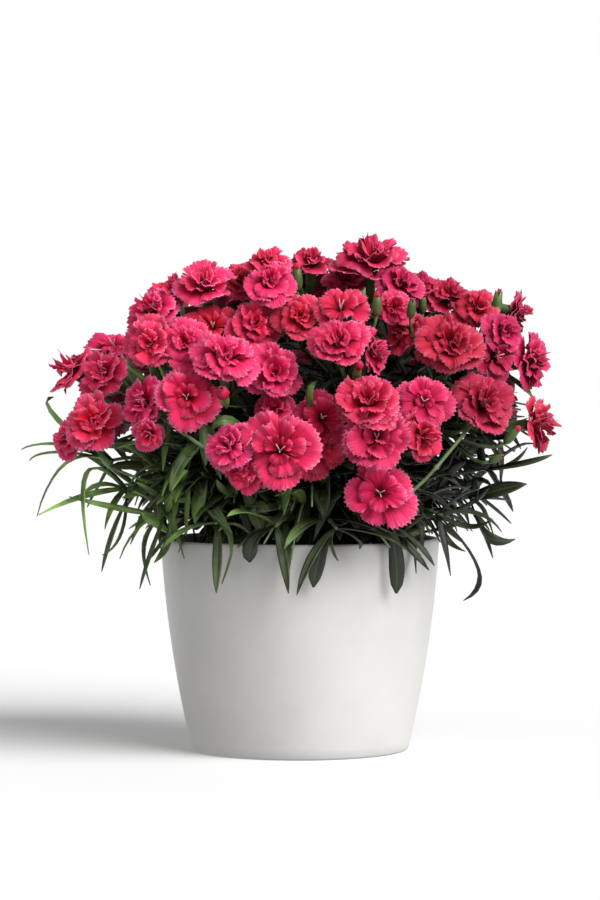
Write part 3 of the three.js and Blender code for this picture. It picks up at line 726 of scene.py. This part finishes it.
LEAF_FORMS = {  # places along a leaf, and its width there
    POINTED: [[0, 0.08, 0.25, 0.45, 0.65, 0.82, 0.94, 1], [0.42, 0.6, 0.85, 1, 0.9, 0.6, 0.26, 0.03]],
    BLUNT: [[0, 0.08, 0.25, 0.5, 0.7, 0.86, 0.95, 1], [0.4, 0.58, 0.82, 0.96, 1, 0.86, 0.58, 0.12]],
}
# Painted shade on the blunt leaves that hang over the rim under the crown.
BLUNT_SHADE = 0.32
LEAF_FOLD = 0.9  # mm, depth of the rib below the two edges
LEAF_TWIST = 0.7  # radians, at most
LEAF_SKIN = 0.45  # mm thick
LEAF_BALLS = [[0.1, 0.2], [0.2, 0.4], [0.35, 0.45], [0.5, 0.45], [0.65, 0.4], [0.8, 0.3], [0.97, 0.1]]
LEAF_ROOM = 0.4
OFF_SHOOT = (0.3, 0.2, 0.93)  # a direction that no shoot takes
SHOWN_LEAVES = [  # bend, tip, width, form: leaves that show by themselves, each from the nearest shoot
    [[-126, 159, -16], [-145, 156, -12], 4, POINTED],
    [[-127, 155, -24], [-141, 150, -26], 3, POINTED],
    [[-122, 149, -34], [-137, 121, -36], 4, POINTED],
    [[-112, 132, -44], [-136, 122, -48], 4, POINTED],
    [[-111, 144, -48], [-110, 101, -52], 5, POINTED],
    [[-93, 113, -40], [-103, 101, -40], 3, POINTED],
    [[-81, 108, -36], [-78, 85, -30], 5, POINTED],
    [[-66, 118, -62], [-60, 99, -54], 4, POINTED],
    [[-68, 110, -48], [-76, 97, -44], 7, POINTED],
    [[-36, 107, -76], [-41, 86, -70], 6, POINTED],
    [[-24, 109, -80], [-26, 97, -76], 8, BLUNT],
    [[11, 104, -82], [7, 84, -78], 8, BLUNT],
    [[17, 106, -84], [20, 98, -84], 4, POINTED],
    [[30, 110, -80], [31, 104, -78], 3, POINTED],
    [[50, 102, -66], [50, 81, -62], 8, BLUNT],
    [[76, 110, -46], [86, 103, -50], 5, POINTED],
    [[93, 94, -40], [85, 77, -42], 4, POINTED],
    [[98, 111, -34], [112, 109, -36], 6, POINTED],
    [[92, 123, -54], [105, 113, -60], 5, POINTED],
    [[88, 116, -40], [100, 120, -42], 5, POINTED],
    [[103, 135, -30], [118, 138, -32], 8, POINTED],
    [[117, 149, -10], [131, 153, -12], 3, POINTED],
    [[110, 149, 0], [118, 157, 0], 3, POINTED],
    [[93, 140, -36], [92, 128, -40], 5, POINTED],
    [[-61, 146, -70], [-67, 134, -78], 7, POINTED],
    [[-45, 125, -80], [-35, 112, -84], 6, POINTED],
    [[64, 123, -66], [52, 112, -70], 4, POINTED],
]
SMALL_LEAVES = [  # root, bend, tip, width: short leaves of the stalks that stand out from them
    [[-122, 165, -8], [-128, 174, -17], [-128, 183, -12], 5],
    [[-30, 163, -68], [-37, 171, -88], [-47, 165, -84], 5.5],
    [[-90, 166, -26], [-93, 173, -32], [-96, 178, -28], 4],
    [[2, 176, -76], [5, 184, -90], [9, 191, -86], 4.5],
    [[-76, 122, -40], [-84, 116, -46], [-94, 99, -42], 3],
    [[-80, 128, -44], [-98, 126, -52], [-120, 131, -48], 3],
    [[112, 190, -6], [118, 187, -10], [122, 180, -6], 3],
    [[-50, 162, -60], [-60, 152, -82], [-68, 134, -82], 6.5],
]
TOP_PAIR = (0.96, 34, 5)  # place, length, width
LOW_PAIR = (0.7, 38, 5.5)
STALK_PAIR = (0.6, 32, 4.5)
SWINGS = [0, 0.5, -0.5, 1, -1, 1.4, -1.4]
STALK_PAIR_STEP = 5  # stalks from one with a pair to the next
SHORT_STALK = 30  # mm, too short for a pair
LEAF_BEND = 0.55  # places of a leaf's bend and tip along its reach
LEAF_TIP = 0.95
SMALL_TONE = 1.45
INNER_SHOOTS = 15  # on each stem
INNER_REACH = (30, 70)
INNER_RADIUS = 1.0
INNER_STEP = 8  # mm from pair to pair
INNER_LIMIT = 0.92  # of the dome
INNER_LEAF = (20, 38)
INNER_WIDTH = (4.2, 7.4)
INNER_MARKS = np.linspace(0.3, 0.97, 9)  # places of leaf pairs along a main stem
INNER_TONE = 0.8
INNER_SEED, INNER_STEM_SEED = 300, 500
LEAF_DARK = "#2d3f1e"
LEAF_LIGHT = "#719142"
LEAF_RIB = "#8fa768"
LEAF_WAX = "#788a68"

# Leaf skin: matt and slightly waxy, mid green, with a pale midrib and fine veins along it.
leaf_skin, shader, place, green = mottled("waxy_leaf", LEAF_DARK, LEAF_LIGHT, 14, {"Roughness": 0.42})
flat = add(leaf_skin, "UVMap", {}, uv_map="UVMap")["UV"]
sides = add(leaf_skin, "SeparateXYZ", {"Vector": flat})
offset = add(leaf_skin, "Math", {0: sides["X"], 1: 0.5}, operation="SUBTRACT")["Value"]
off_rib = add(leaf_skin, "Math", {0: offset}, operation="ABSOLUTE")["Value"]
rib = add(leaf_skin, "MapRange", {
    "Value": off_rib, "From Min": 0.02, "From Max": 0.07, "To Min": 0.55, "To Max": 0,
})
ribbed = add(leaf_skin, "Mix", {0: rib["Result"], 6: green, 7: colour(LEAF_RIB)}, data_type="RGBA")
wax = add(leaf_skin, "TexNoise", {"Vector": place, "Scale": 1 / 22 / MM, "Detail": 4})
waxed = add(leaf_skin, "MapRange", {
    "Value": wax["Fac"], "From Min": 0.45, "From Max": 0.75, "To Max": 0.3,
})
greyed = add(leaf_skin, "Mix", {0: waxed["Result"], 6: ribbed[2], 7: colour(LEAF_WAX)}, data_type="RGBA")
veins = add(leaf_skin, "TexWave", {"Vector": flat, "Scale": 3.5, "Distortion": 0.3}, bands_direction="X")
relief = add(leaf_skin, "Bump", {"Height": veins["Fac"], "Strength": 0.35, "Distance": 0.15 * MM})
link(leaf_skin, by_tone(leaf_skin, greyed[2]), shader, "Base Color")
link(leaf_skin, relief["Normal"], shader, "Normal")


def blade(bm, curve, width, form, tone, columns=4, rows=7):
    """A leaf along a curve: a grid bent to it, narrowed to its form, folded at the rib and twisted
    so that its upper face turns out."""
    start, bend, end = (on_curve(curve, t) for t in (0, 0.5, 1))
    side = np.cross(bend - start, end - bend)
    if np.linalg.norm(side) < 1e-6:
        side = np.cross(end - start, point(0, 0, 1))
    side = unit(side)
    if np.cross(along(curve, 0.5), side)[2] < 0:
        side = -side
    shown = unit(np.cross(unit(end * point(1, 1, 0)) + point(0, 0, 0.6), along(curve, 1)))
    if shown @ side < 0:
        shown = -shown
    twist = LEAF_TWIST * math.sin(end @ point(0.7, 1.1, 1.3))
    shades = bm.verts.layers.float["tone"]
    grid = bmesh.ops.create_grid(bm, x_segments=columns, y_segments=rows, size=1, calc_uvs=True)
    for vert in grid["verts"]:
        across, t = vert.co.x, (vert.co.y + 1) / 2
        ahead, lie = along(curve, t), side + (shown - side) * t
        lie = turned(unit(lie - ahead * (lie @ ahead)), ahead, twist * t)
        top = np.cross(ahead, lie)
        share = np.interp(t, *LEAF_FORMS[form])
        edge = lie * across * width * share / 2
        rib = top * LEAF_FOLD * share * (1 - abs(across)) ** 1.3
        vert.co = (on_curve(curve, t) - edge - rib) * MM
        vert[shades] = tone * inner_shade(on_curve(curve, t))


def painted_light_by_place(tip):
    """Painted light and shade on a leaf by its place: lighter on the left, darker on the right and low
    down.
    """
    return float(np.interp(tip[0], [-70, 50], [1.85, 0.52]) * np.interp(tip[2], [92, 122], [0.55, 1]))


def leaf_curve(root, bend, tip):
    return np.array([root, bend * 2 - root / 2 - tip / 2, tip])


def grow_leaf(owner, curve, width, form, is_strict, tone, **grid):
    """A leaf that keeps its room; a strict one also keeps it from its own plant past its foot."""
    balls = np.array([[*on_curve(curve, t), part * width + LEAF_ROOM] for t, part in LEAF_BALLS])
    if not is_clear(balls, owner) or not is_clear_of_pot(balls):
        return False
    if is_strict and not is_clear(balls[2:], NO_ONE):
        return False
    claim(balls, owner)
    blade(leaves[owner], curve, width, form, tone, **grid)
    return True


def joint_at(curve, place):
    """A joint's point, its direction and the side that its leaves are turned from."""
    root, ahead = on_curve(curve, place), along(curve, place)
    return root, ahead, unit(np.cross(point(*OFF_SHOOT), ahead))


def grow_pair(owner, curve, pair, number):
    """Opposite leaves at a joint, bent out and down, each the first way that is clear."""
    place, length, width = pair
    draw = seeded(number * 13 + 7)
    root, ahead, across = joint_at(curve, place)
    turn = draw(0, math.pi)
    for half in (0, math.pi):
        size, droop = length * draw(0.8, 1.15), draw(0.05, 0.3)
        for swing in SWINGS:
            reach = turned(across, ahead, turn + half + swing) * 0.8 + ahead * 0.6
            bend = root + reach * size * LEAF_BEND
            tip = root + reach * size * LEAF_TIP - point(0, 0, droop * size)
            tone = (0.7 + droop) * painted_light_by_place(tip)
            if grow_leaf(owner, leaf_curve(root, bend, tip), width, POINTED, True, tone):
                break


shoots = []
for end in SHOOT_ENDS:
    tip = point(*end)
    arrive = unit(unit(tip * point(1, 1, 0)) - point(0, 0, SHOOT_DROOP))
    shoots.append(route(tip, arrive, SHOOT_STARTS, SHOOT_STOPS, SHOOT_RADIUS, 0))
for owner, curve in shoots:
    length, joints = joints_of(curve)
    tube(plants[owner], curve, jointed(SHOOT_RADIUS, length, joints, SHOOT_THIN), 7, SHOOT_TONE)
for k, (bend, tip, width, form) in enumerate(SHOWN_LEAVES):
    bend, tip = as_seen(*bend), as_seen(*tip)
    tone = BLUNT_SHADE if form == BLUNT else (0.85 + 0.1 * (k % 5)) * painted_light_by_place(tip)
    for owner, root, _ in roots_near(bend, shoots, (LOW_PAIR[0], TOP_PAIR[0])):
        if grow_leaf(owner, leaf_curve(root, bend, tip), width, form, False, tone, rows=10):
            break
for *places, width in SMALL_LEAVES:
    start, bend, tip = (as_seen(*place) for place in places)
    owner, root, _ = roots_near(start, shoots + stalks, np.linspace(0.2, 1, 12))[0]
    blade(leaves[owner], leaf_curve(root, bend, tip), width, POINTED, SMALL_TONE)
for i, (owner, curve) in enumerate(shoots):
    grow_pair(owner, curve, TOP_PAIR, i * 2)
    grow_pair(owner, curve, LOW_PAIR, i * 2 + 1)
for i, (owner, curve) in enumerate(stalks):
    if i % STALK_PAIR_STEP == 0 and joints_of(curve)[0] > SHORT_STALK:
        grow_pair(owner, curve, STALK_PAIR, i + 100)


def is_off_blooms(balls):
    return is_clear(balls, NO_ONE, owners >= FIRST_BUNCH)


def inner_leaves(owner, curve, marks, draw):
    """Opposite leaves at each mark of a shoot or stalk, kept off the blooms and the pot."""
    turn = draw(0, math.pi)
    for mark in marks:
        root, ahead, across = joint_at(curve, mark)
        turn += math.pi / 2 + draw(-0.3, 0.3)
        for half in (0, math.pi):
            length, width = draw(*INNER_LEAF), draw(*INNER_WIDTH)
            reach = turned(across, ahead, turn + half) * draw(0.6, 0.95) + ahead * draw(0.4, 0.8)
            bend = root + reach * length * LEAF_BEND
            tip = root + reach * length * LEAF_TIP - point(0, 0, draw(-0.2, 0.4) * length)
            way = leaf_curve(root, bend, tip)
            balls = np.array([[*on_curve(way, t), part * width] for t, part in LEAF_BALLS])
            if dome_reach(tip) > INNER_LIMIT:
                continue
            if is_off_blooms(balls) and is_clear_of_pot(balls):
                blade(leaves[owner], way, width, POINTED, draw(0.55, 1.2) * painted_light_by_place(tip), 2, 6)


for i, (owner, curve) in enumerate(stalks + shoots):
    inner_leaves(owner, curve, joints_of(curve)[1], seeded(i + INNER_SEED))
for owner, stem in enumerate(stems):
    draw = seeded(owner + INNER_STEM_SEED)
    inner_leaves(owner, stem, INNER_MARKS, draw)
    for i in range(INNER_SHOOTS):
        start, span = draw(0.25, 0.95), draw(*INNER_REACH)
        foot = on_curve(stem, start)
        away = unit(point(draw(-1, 1), draw(-1, 1), draw(-0.5, 0.6)) + unit(foot * point(1, 1, 0)) * 0.8)
        low = foot + (along(stem, start) + away) * span * 0.3
        high = foot + away * span * 0.7 + point(0, 0, span * 0.2)
        curve = np.array([foot, low, high, foot + away * span])
        balls = tube_balls(curve, SHOOT_STOPS, INNER_RADIUS)
        if is_off_blooms(balls) and is_clear_of_pot(balls):
            rings = [(t, INNER_RADIUS * (FOOT_SWELL - 0.6 * t)) for t in np.linspace(0, 1, 6)]
            tube(plants[owner], curve, rings, 6, INNER_TONE)
            inner_leaves(owner, curve, np.arange(0.2, 1.01, INNER_STEP / span), draw)


# ---- Buds ---------------------------------------------------------------------------------------
# Closed calyces of the same green tissue, which stand between the blooms on thin side stalks
# that branch from the flower stalks. Rolled petals show at their tips.
# Each bud: across, up, turn to the right, rise, length of its calyx, how far it is open, tone; the tone
# is painted light and shade, lower for buds that sit deep among the blooms.
BUDS = [
    [-1.5, 245, -4, 80, 11, 0.1, 0.8], [40, 231, 6, 74, 9.5, 0.1, 0.75], [58, 229, 14, 62, 9, 0, 0.85],
    [64.7, 232, 4, 80, 8.5, 0.3, 0.75], [96, 232, -8, 74, 10, 0.1, 0.8],
    [102.5, 232, 18, 66, 11, 0, 1.25],
    [110, 163, 70, 46, 9, 0.1, 0.85], [102, 151, 64, 24, 7, 0, 0.75], [-39.3, 182, -8, 30, 9, 1, 1.15],
    [47, 150, 20, 30, 9, 0.3, 0.9], [-76, 196, -30, 55, 10, 0.2, 0.9], [30, 196, 12, 40, 9, 0.5, 1.1],
]
BACK_BUDS = 12
BACK_BUD = 11  # mm, length of its calyx
BUD_SEED = 808
BUD_STEPS = 40  # of a millimetre, at most, that a bud moves back
BUD_EDGE = 0.02  # of the dome, as DOME_EDGE
BUD_ROOM = 3
BUD_STALK = 0.85
BUD_ROOTS = (0.3, 0.5, 0.7)  # places along a flower stalk
BUD_REACH = 24  # mm that it stands beyond its root
BUD_RADIUS = 0.27  # of its length
BUD_FORM = [(0, 0.3), (0.08, 0.66), (0.25, 0.92), (0.5, 1), (0.75, 0.88), (1, 0.62)]


def bud(place, axis, length, tone):
    """A side stalk from the nearest stalk to a closed calyx, and the place of its pink tip."""
    neck = place - axis * length * 0.6
    owner, foot, ahead = roots_near(neck - axis * BUD_REACH, stalks, BUD_ROOTS)[0]
    span = np.linalg.norm(neck - foot)
    curve = np.array([foot, foot + ahead * span / 6, neck - axis * span / 4, neck])
    tube(plants[owner], curve, [(t, BUD_STALK) for t in np.linspace(0, 1, 9)], 6, tone)
    tip = neck + axis * length
    stops = [(t, BUD_RADIUS * length * swell) for t, swell in BUD_FORM]
    rings = tube(plants[owner], np.array([neck, tip]), stops, 10, tone, 1)
    for vert in rings[-1][::2]:
        vert.co += Vector(axis * length / 4 * MM)
    return tip


def bud_balls(place, axis):
    return np.array([[*(place + axis * step), BUD_ROOM] for step in (-6, 0, 6)])


bud_tips = []
for across, up, turn, rise, length, opened, tone in BUDS:
    place, axis = as_seen(across, up, -dome_front(across, up, BUD_EDGE)), facing(turn, rise)
    for _ in range(BUD_STEPS):
        if is_off_blooms(bud_balls(place, axis)):
            break
        place = place + point(0, 1, 0)
    bud_tips.append((bud(place, axis, length, tone), axis, length, opened))
draw = seeded(BUD_SEED)
while len(bud_tips) < len(BUDS) + BACK_BUDS:
    axis = facing(draw(115, 245), draw(5, 60))
    place = axis * point(BACK_WIDE, BACK_DEEP, BACK_HIGH) * 0.95 + point(0, 0, DOME_MIDDLE)
    if is_off_blooms(bud_balls(place, axis)):
        bud_tips.append((bud(place, axis, BACK_BUD, 1.05), axis, BACK_BUD, 0.2))


def thicken(made, name, thickness, under=0):
    """Gives a thin piece its thickness in mm; under is how many materials on its underside's is."""
    skin = made.modifiers.new(name, "SOLIDIFY")
    skin.thickness = thickness * MM
    skin.material_offset = under


for i, (plant, foliage) in enumerate(zip(plants, leaves)):
    piece(f"stem_{i + 1}", plant, [stem_skin, calyx_skin], "leaf", f"leafy_stem_{i + 1}")
    thicken(piece(f"leaves_{i + 1}", foliage, [leaf_skin], "leaf"), "leaf skin", LEAF_SKIN)


# ---- Blooms -------------------------------------------------------------------------------------
# Double flowers of thin velvety petals in loose layers. Each petal is a fan on a narrow claw: a
# grid bent up and outwards, ruffled towards its toothed rim, and lapped over its neighbour.
PETAL_SKIN = 0.2  # mm thick
FULL_WIDTH = 33  # mm; wider blooms have a layer more
BLOOM_PAINTED_LIGHT = [-90, 0, 90], [1.5, 1.13, 0.8]  # painted light and shade: the blooms on the left are lighter, those on the right darker
TOOTH = 0.057  # of a half width
CLAW = 0.03  # how far out a petal's narrow end is, of its reach
# Layers from the outside in: petals, reach, tip height, half angle in degrees, ruffle.
FULL_LAYERS = [
    (5, 1.04, 0.3, 44, 0.05), (5, 0.9, 0.46, 43, 0.075),
    (5, 0.68, 0.62, 42, 0.09), (4, 0.38, 0.72, 50, 0.1),
]
FRONT_LAYERS = [(5, 1.04, 0.3, 44, 0.06), (5, 0.8, 0.5, 43, 0.08), (4, 0.46, 0.68, 48, 0.1)]
HALF_OPEN_LAYERS = [(5, 1.05, 0.28, 43, 0.06), (5, 0.78, 0.44, 41, 0.08), (3, 0.36, 0.58, 48, 0.1)]
OPEN_LAYERS = [(5, 1.06, 0.26, 38, 0.065), (5, 0.68, 0.48, 36, 0.09)]
BACK_LAYERS = [(5, 1.03, 0.32, 44, 0.06), (5, 0.78, 0.52, 43, 0.09), (4, 0.44, 0.7, 48, 0.12)]
TUFT = (4, 0.24, 0.62, 60, 0.18)  # the small upright petals that fill a double bloom's middle
OPEN_BLOOMS = [0, 13, 40, 92, 112]  # their numbers; the pale styles show in these and the next
HALF_OPEN_BLOOMS = [4, 9, 16, 20, 29, 68]
FRONT_COLUMNS = 24  # of a petal's grid
BACK_COLUMNS = 14
PETAL_ROWS = 5
TIP_SEED, STYLE_SEED = 60, 40
STYLE_PALE = "#e9b9c6"

# Petal face: matt velvet, crimson at the claw, bright rose further out, with a thin pale rim
# and soft streaks that run out along it.
petal_face, shader = surface("velvet_petal", {"Roughness": 0.6, "Specular IOR Level": 0.22})
flat = add(petal_face, "UVMap", {}, uv_map="UVMap")["UV"]
sides = add(petal_face, "SeparateXYZ", {"Vector": flat})
stretch = add(petal_face, "CombineXYZ", {
    "X": add(petal_face, "Math", {0: sides["X"], 1: 26.0}, operation="MULTIPLY")["Value"],
    "Y": add(petal_face, "Math", {0: sides["Y"], 1: 2.5}, operation="MULTIPLY")["Value"],
    "Z": add(petal_face, "Attribute", {}, attribute_name="spot")["Fac"],
})["Vector"]
streaks = add(petal_face, "TexNoise", {"Vector": stretch, "Scale": 1.0, "Detail": 3})["Fac"]
wander = add(petal_face, "MapRange", {
    "Value": streaks, "From Min": 0.3, "From Max": 0.7, "To Min": -0.08, "To Max": 0.08,
})
reach = add(petal_face, "Math", {0: sides["Y"], 1: wander["Result"]}, operation="ADD")["Value"]
# The ramp's dark start, near black at the claw and dark crimson out to about a quarter of the petal, is
# partly the petals' own crimson and partly painted shade deep in the bloom's throat.
tint = add(petal_face, "ValToRGB", {"Fac": reach}, [
    (0.0, "#3c020e"), (0.28, "#960822"), (0.54, "#ce1942"), (0.82, "#e62c5c"),
    (0.965, "#ec4873"), (1.0, "#f47697"),
])
shade = by_tone(petal_face, tint["Color"], clamp_result=True)
warmth = add(petal_face, "Attribute", {}, attribute_name="warmth")["Fac"]
warmed = add(petal_face, "HueSaturation", {"Hue": warmth, "Color": shade})["Color"]
relief = add(petal_face, "Bump", {"Height": streaks, "Strength": 0.8, "Distance": 0.8 * MM})
link(petal_face, warmed, shader, "Base Color")
link(petal_face, relief["Normal"], shader, "Normal")

# Petal underside: duller and more purple, without the pale rim.
petal_under, shader = surface("petal_underside", {"Roughness": 0.75})
back_flat = add(petal_under, "UVMap", {}, uv_map="UVMap")["UV"]
back_stretch = add(petal_under, "Mapping", {"Vector": back_flat, "Scale": (22, 1.6, 1)})["Vector"]
back_streaks = add(petal_under, "TexNoise", {"Vector": back_stretch, "Scale": 1.0, "Detail": 3})["Fac"]
back_tint = add(petal_under, "ValToRGB", {"Fac": back_streaks}, [(0.3, "#8a1a3c"), (0.7, "#c2506f")])
link(petal_under, back_tint["Color"], shader, "Base Color")

# Styles: smooth, pale and slightly waxy.
style_skin, shader = surface("style", {"Roughness": 0.5, "Base Color": colour(STYLE_PALE)})


def new_petal_mesh():
    bm = new_plant_mesh()
    bm.verts.layers.float.new("spot")
    bm.verts.layers.float.new("warmth")
    return bm


def petal(bm, bloom, turn, layer, draw, columns, rows):
    """A petal of a layer, turned about the bloom's axis: a fan with its own tilt, curl and waves."""
    _, reach, height, angle, ruffle = layer
    claw, axis, half = bloom["claw"], bloom["axis"], bloom["width"] / 2
    side = first_side(axis)
    other = np.cross(axis, side)
    shades, spots, warmths = (bm.verts.layers.float[name] for name in ("tone", "spot", "warmth"))
    waves, phase, curl, tone = draw(1.0, 2.4), draw(0, 6.3), draw(-0.18, 0.1), draw(0.8, 1.12)
    fine, shift = draw(3.2, 4.6), draw(0, 6.3)
    reach, height = reach * draw(0.83, 1.11), height + draw(-0.11, 0.13)
    spot, lean, notch, fold = draw(0, 90), draw(-0.13, 0.13), draw(0.14, 0.34), draw(-0.15, 0.22)
    fan = math.radians(angle)
    grid = bmesh.ops.create_grid(bm, x_segments=columns, y_segments=rows, size=1, calc_uvs=True)["verts"]
    for i, vert in enumerate(grid):
        across, t = vert.co.x, (vert.co.y + 1) / 2
        out = reach * (CLAW + (1 - CLAW) * t ** 1.2) * (1 - notch * abs(across) ** 2.4 * t)
        if t == 1:
            out += TOOTH * reach * (draw(0.2, 1.0) if i % 2 else draw(-0.9, -0.1))
        up = 0.04 + (height - 0.04) * (1 - (1 - t) ** 2.1)
        wave = math.sin(waves * math.pi * across + phase)
        wave += 0.4 * t * math.sin(fine * math.pi * across + shift)
        up += ruffle * t * t * wave
        up += curl * t ** 4 + (0.05 + lean) * across * t + fold * abs(across) * t * t
        heading = turn - fan * across * (1 + 0.1 * t)
        spread = side * math.cos(heading) * out + other * math.sin(heading) * out
        vert.co = (claw + (spread + axis * up) * half) * MM
        vert[shades], vert[spots], vert[warmths] = tone * bloom["tone"], spot, bloom["warmth"]


def layers_of(bloom):
    if bloom["number"] in OPEN_BLOOMS:
        return OPEN_LAYERS
    if bloom["number"] in HALF_OPEN_BLOOMS:
        return HALF_OPEN_LAYERS
    if bloom["back"]:
        return BACK_LAYERS
    return FULL_LAYERS if bloom["width"] > FULL_WIDTH else FRONT_LAYERS


for b, bunch in enumerate(bunches):
    bm = new_petal_mesh()
    for bloom in bunch:
        draw = seeded(bloom["number"] * 31 + 5)
        spin, cup = draw(0, 2 * math.pi), draw(-0.06, 0.06)
        bloom["tone"], bloom["warmth"] = draw(0.84, 1.12), draw(0.492, 0.506)
        # Painted light and shade by place: blooms lighter on the left and darker on the right.
        bloom["tone"] *= float(np.interp(bloom["claw"][0], *BLOOM_PAINTED_LIGHT))
        layers, columns = layers_of(bloom), BACK_COLUMNS if bloom["back"] else FRONT_COLUMNS
        for k, (count, reach, height, angle, ruffle) in enumerate(layers):
            layer = (count, reach, height + cup, angle, ruffle)
            first = spin if k == 0 else draw(0, 2 * math.pi)
            for i in range(count):
                turn = first + i * 2 * math.pi / count + draw(-0.24, 0.24)
                petal(bm, bloom, turn, layer, draw, columns, PETAL_ROWS)
        if layers not in (OPEN_LAYERS, HALF_OPEN_LAYERS):
            for i in range(TUFT[0]):
                turn = spin + i * 2 * math.pi / TUFT[0] + draw(-0.4, 0.4)
                petal(bm, bloom, turn, TUFT, draw, 10, 4)
    made = piece(f"blooms_{b + 1}", bm, [petal_face, petal_under], "petal", f"bloom_{b + 1}")
    thicken(made, "petal skin", PETAL_SKIN, 1)


def swollen(bm, rolled, tip, radius):
    """The ball of rolled petals that swells out of a bud as it opens."""
    axis, side = rolled["axis"], first_side(rolled["axis"])
    other = np.cross(axis, side)
    shades, spots, warmths = (bm.verts.layers.float[name] for name in ("tone", "spot", "warmth"))
    ball = bmesh.ops.create_uvsphere(bm, u_segments=20, v_segments=8, radius=1, calc_uvs=True)
    for vert in ball["verts"]:
        x, y, z = vert.co
        roll = 1 + 0.07 * math.sin(5 * math.atan2(y, x) + 3 * z)
        vert.co = (tip + ((side * x + other * y) * roll + axis * (z * 1.1 + 0.6)) * radius) * MM
        vert[shades], vert[spots], vert[warmths] = rolled["tone"], radius, rolled["warmth"]


# The rolled petals that show at the tips of the buds.
bm = new_petal_mesh()
for k, (tip, axis, size, opened) in enumerate(bud_tips):
    draw = seeded(k + TIP_SEED)
    ball = size * (0.17 + 0.2 * opened)
    rolled = {
        "claw": tip + axis * (1.5 * ball * opened - size / 3), "axis": axis, "width": size,
        "tone": draw(0.8, 1.05), "warmth": 0.5,
    }
    for i in range(5):
        petal(bm, rolled, i * 2 * math.pi / 5, (5, 0.26, draw(0.95, 1.15), 60, 0.03), draw, 6, 3)
    if opened:
        swollen(bm, rolled, tip, ball)
thicken(piece("bud_tips", bm, [petal_face, petal_under], "petal"), "petal skin", PETAL_SKIN, 1)

bm = new_plant_mesh()
for bloom in blooms:
    if bloom["number"] in OPEN_BLOOMS + HALF_OPEN_BLOOMS:
        draw = seeded(bloom["number"] + STYLE_SEED)
        for i in range(3):
            aside = turned(first_side(bloom["axis"]), bloom["axis"], i * 2.1 + draw(0, 1))
            end = bloom["axis"] * draw(0.5, 0.62) + aside * draw(0.06, 0.16)
            bend = bloom["axis"] * 0.4
            curve = bloom["claw"] + np.array([point(0, 0, 0), bend, end]) * bloom["width"] / 2
            tube(bm, curve, [(0, 0.4), (0.5, 0.35), (1, 0.25)], 6, 1)
piece("styles", bm, [style_skin], "petal")


# ---- Studio -------------------------------------------------------------------------------------
# White paper under and behind the plant, one large soft light high on the right, and a dim even
# fill. The paper throws no light back at the plant, so that its shaded side keeps its depth.
FLOOR_SIZE = 60  # metres, so that its edge never shows
VIEW_HEIGHT = 468  # mm that the picture takes in, up and down, at the pot's axis
KEY_LIGHT = 3.3
KEY_SOFTNESS = 45  # degrees
KEY_TURN = 47  # to the right of the camera
KEY_RISE = 38
FILL_LIGHT = 0.39

floor_paper, shader = surface("white_paper", {"Roughness": 0.95, "Base Color": colour("#ffffff")})
bm = bmesh.new()
bmesh.ops.create_grid(bm, x_segments=1, y_segments=1, size=FLOOR_SIZE / 2)
floor = finished("floor", bm, [floor_paper])
floor.visible_diffuse = False

world = bpy.data.worlds.new("studio")
bpy.context.scene.world = world
world.use_nodes = True
backdrop = world.node_tree.nodes["Background"]
is_seen = add(world, "LightPath", {})["Is Camera Ray"]
level = add(world, "MapRange", {"Value": is_seen, "To Min": FILL_LIGHT, "To Max": 1.0})
backdrop.inputs["Color"].default_value = colour("#ffffff")
link(world, level["Result"], backdrop, "Strength")

key = bpy.data.lights.new("key", "SUN")
key.energy = KEY_LIGHT
key.angle = math.radians(KEY_SOFTNESS)
placed("key", key).rotation_euler = Vector(facing(KEY_TURN, KEY_RISE)).to_track_quat("Z", "Y").to_euler()

camera = bpy.data.cameras.new("camera")
camera.lens = camera.sensor_width * EYE_DISTANCE / VIEW_HEIGHT
made = placed("camera", camera)
ahead, above = EYE_DISTANCE * math.cos(EYE_RISE), EYE_DISTANCE * math.sin(EYE_RISE)
made.location = (0, -ahead * MM, (EYE_AIM + above) * MM)
made.rotation_euler = (math.pi / 2 - EYE_RISE, 0, 0)
bpy.context.scene.camera = made
bpy.context.scene.view_settings.view_transform = "Standard"
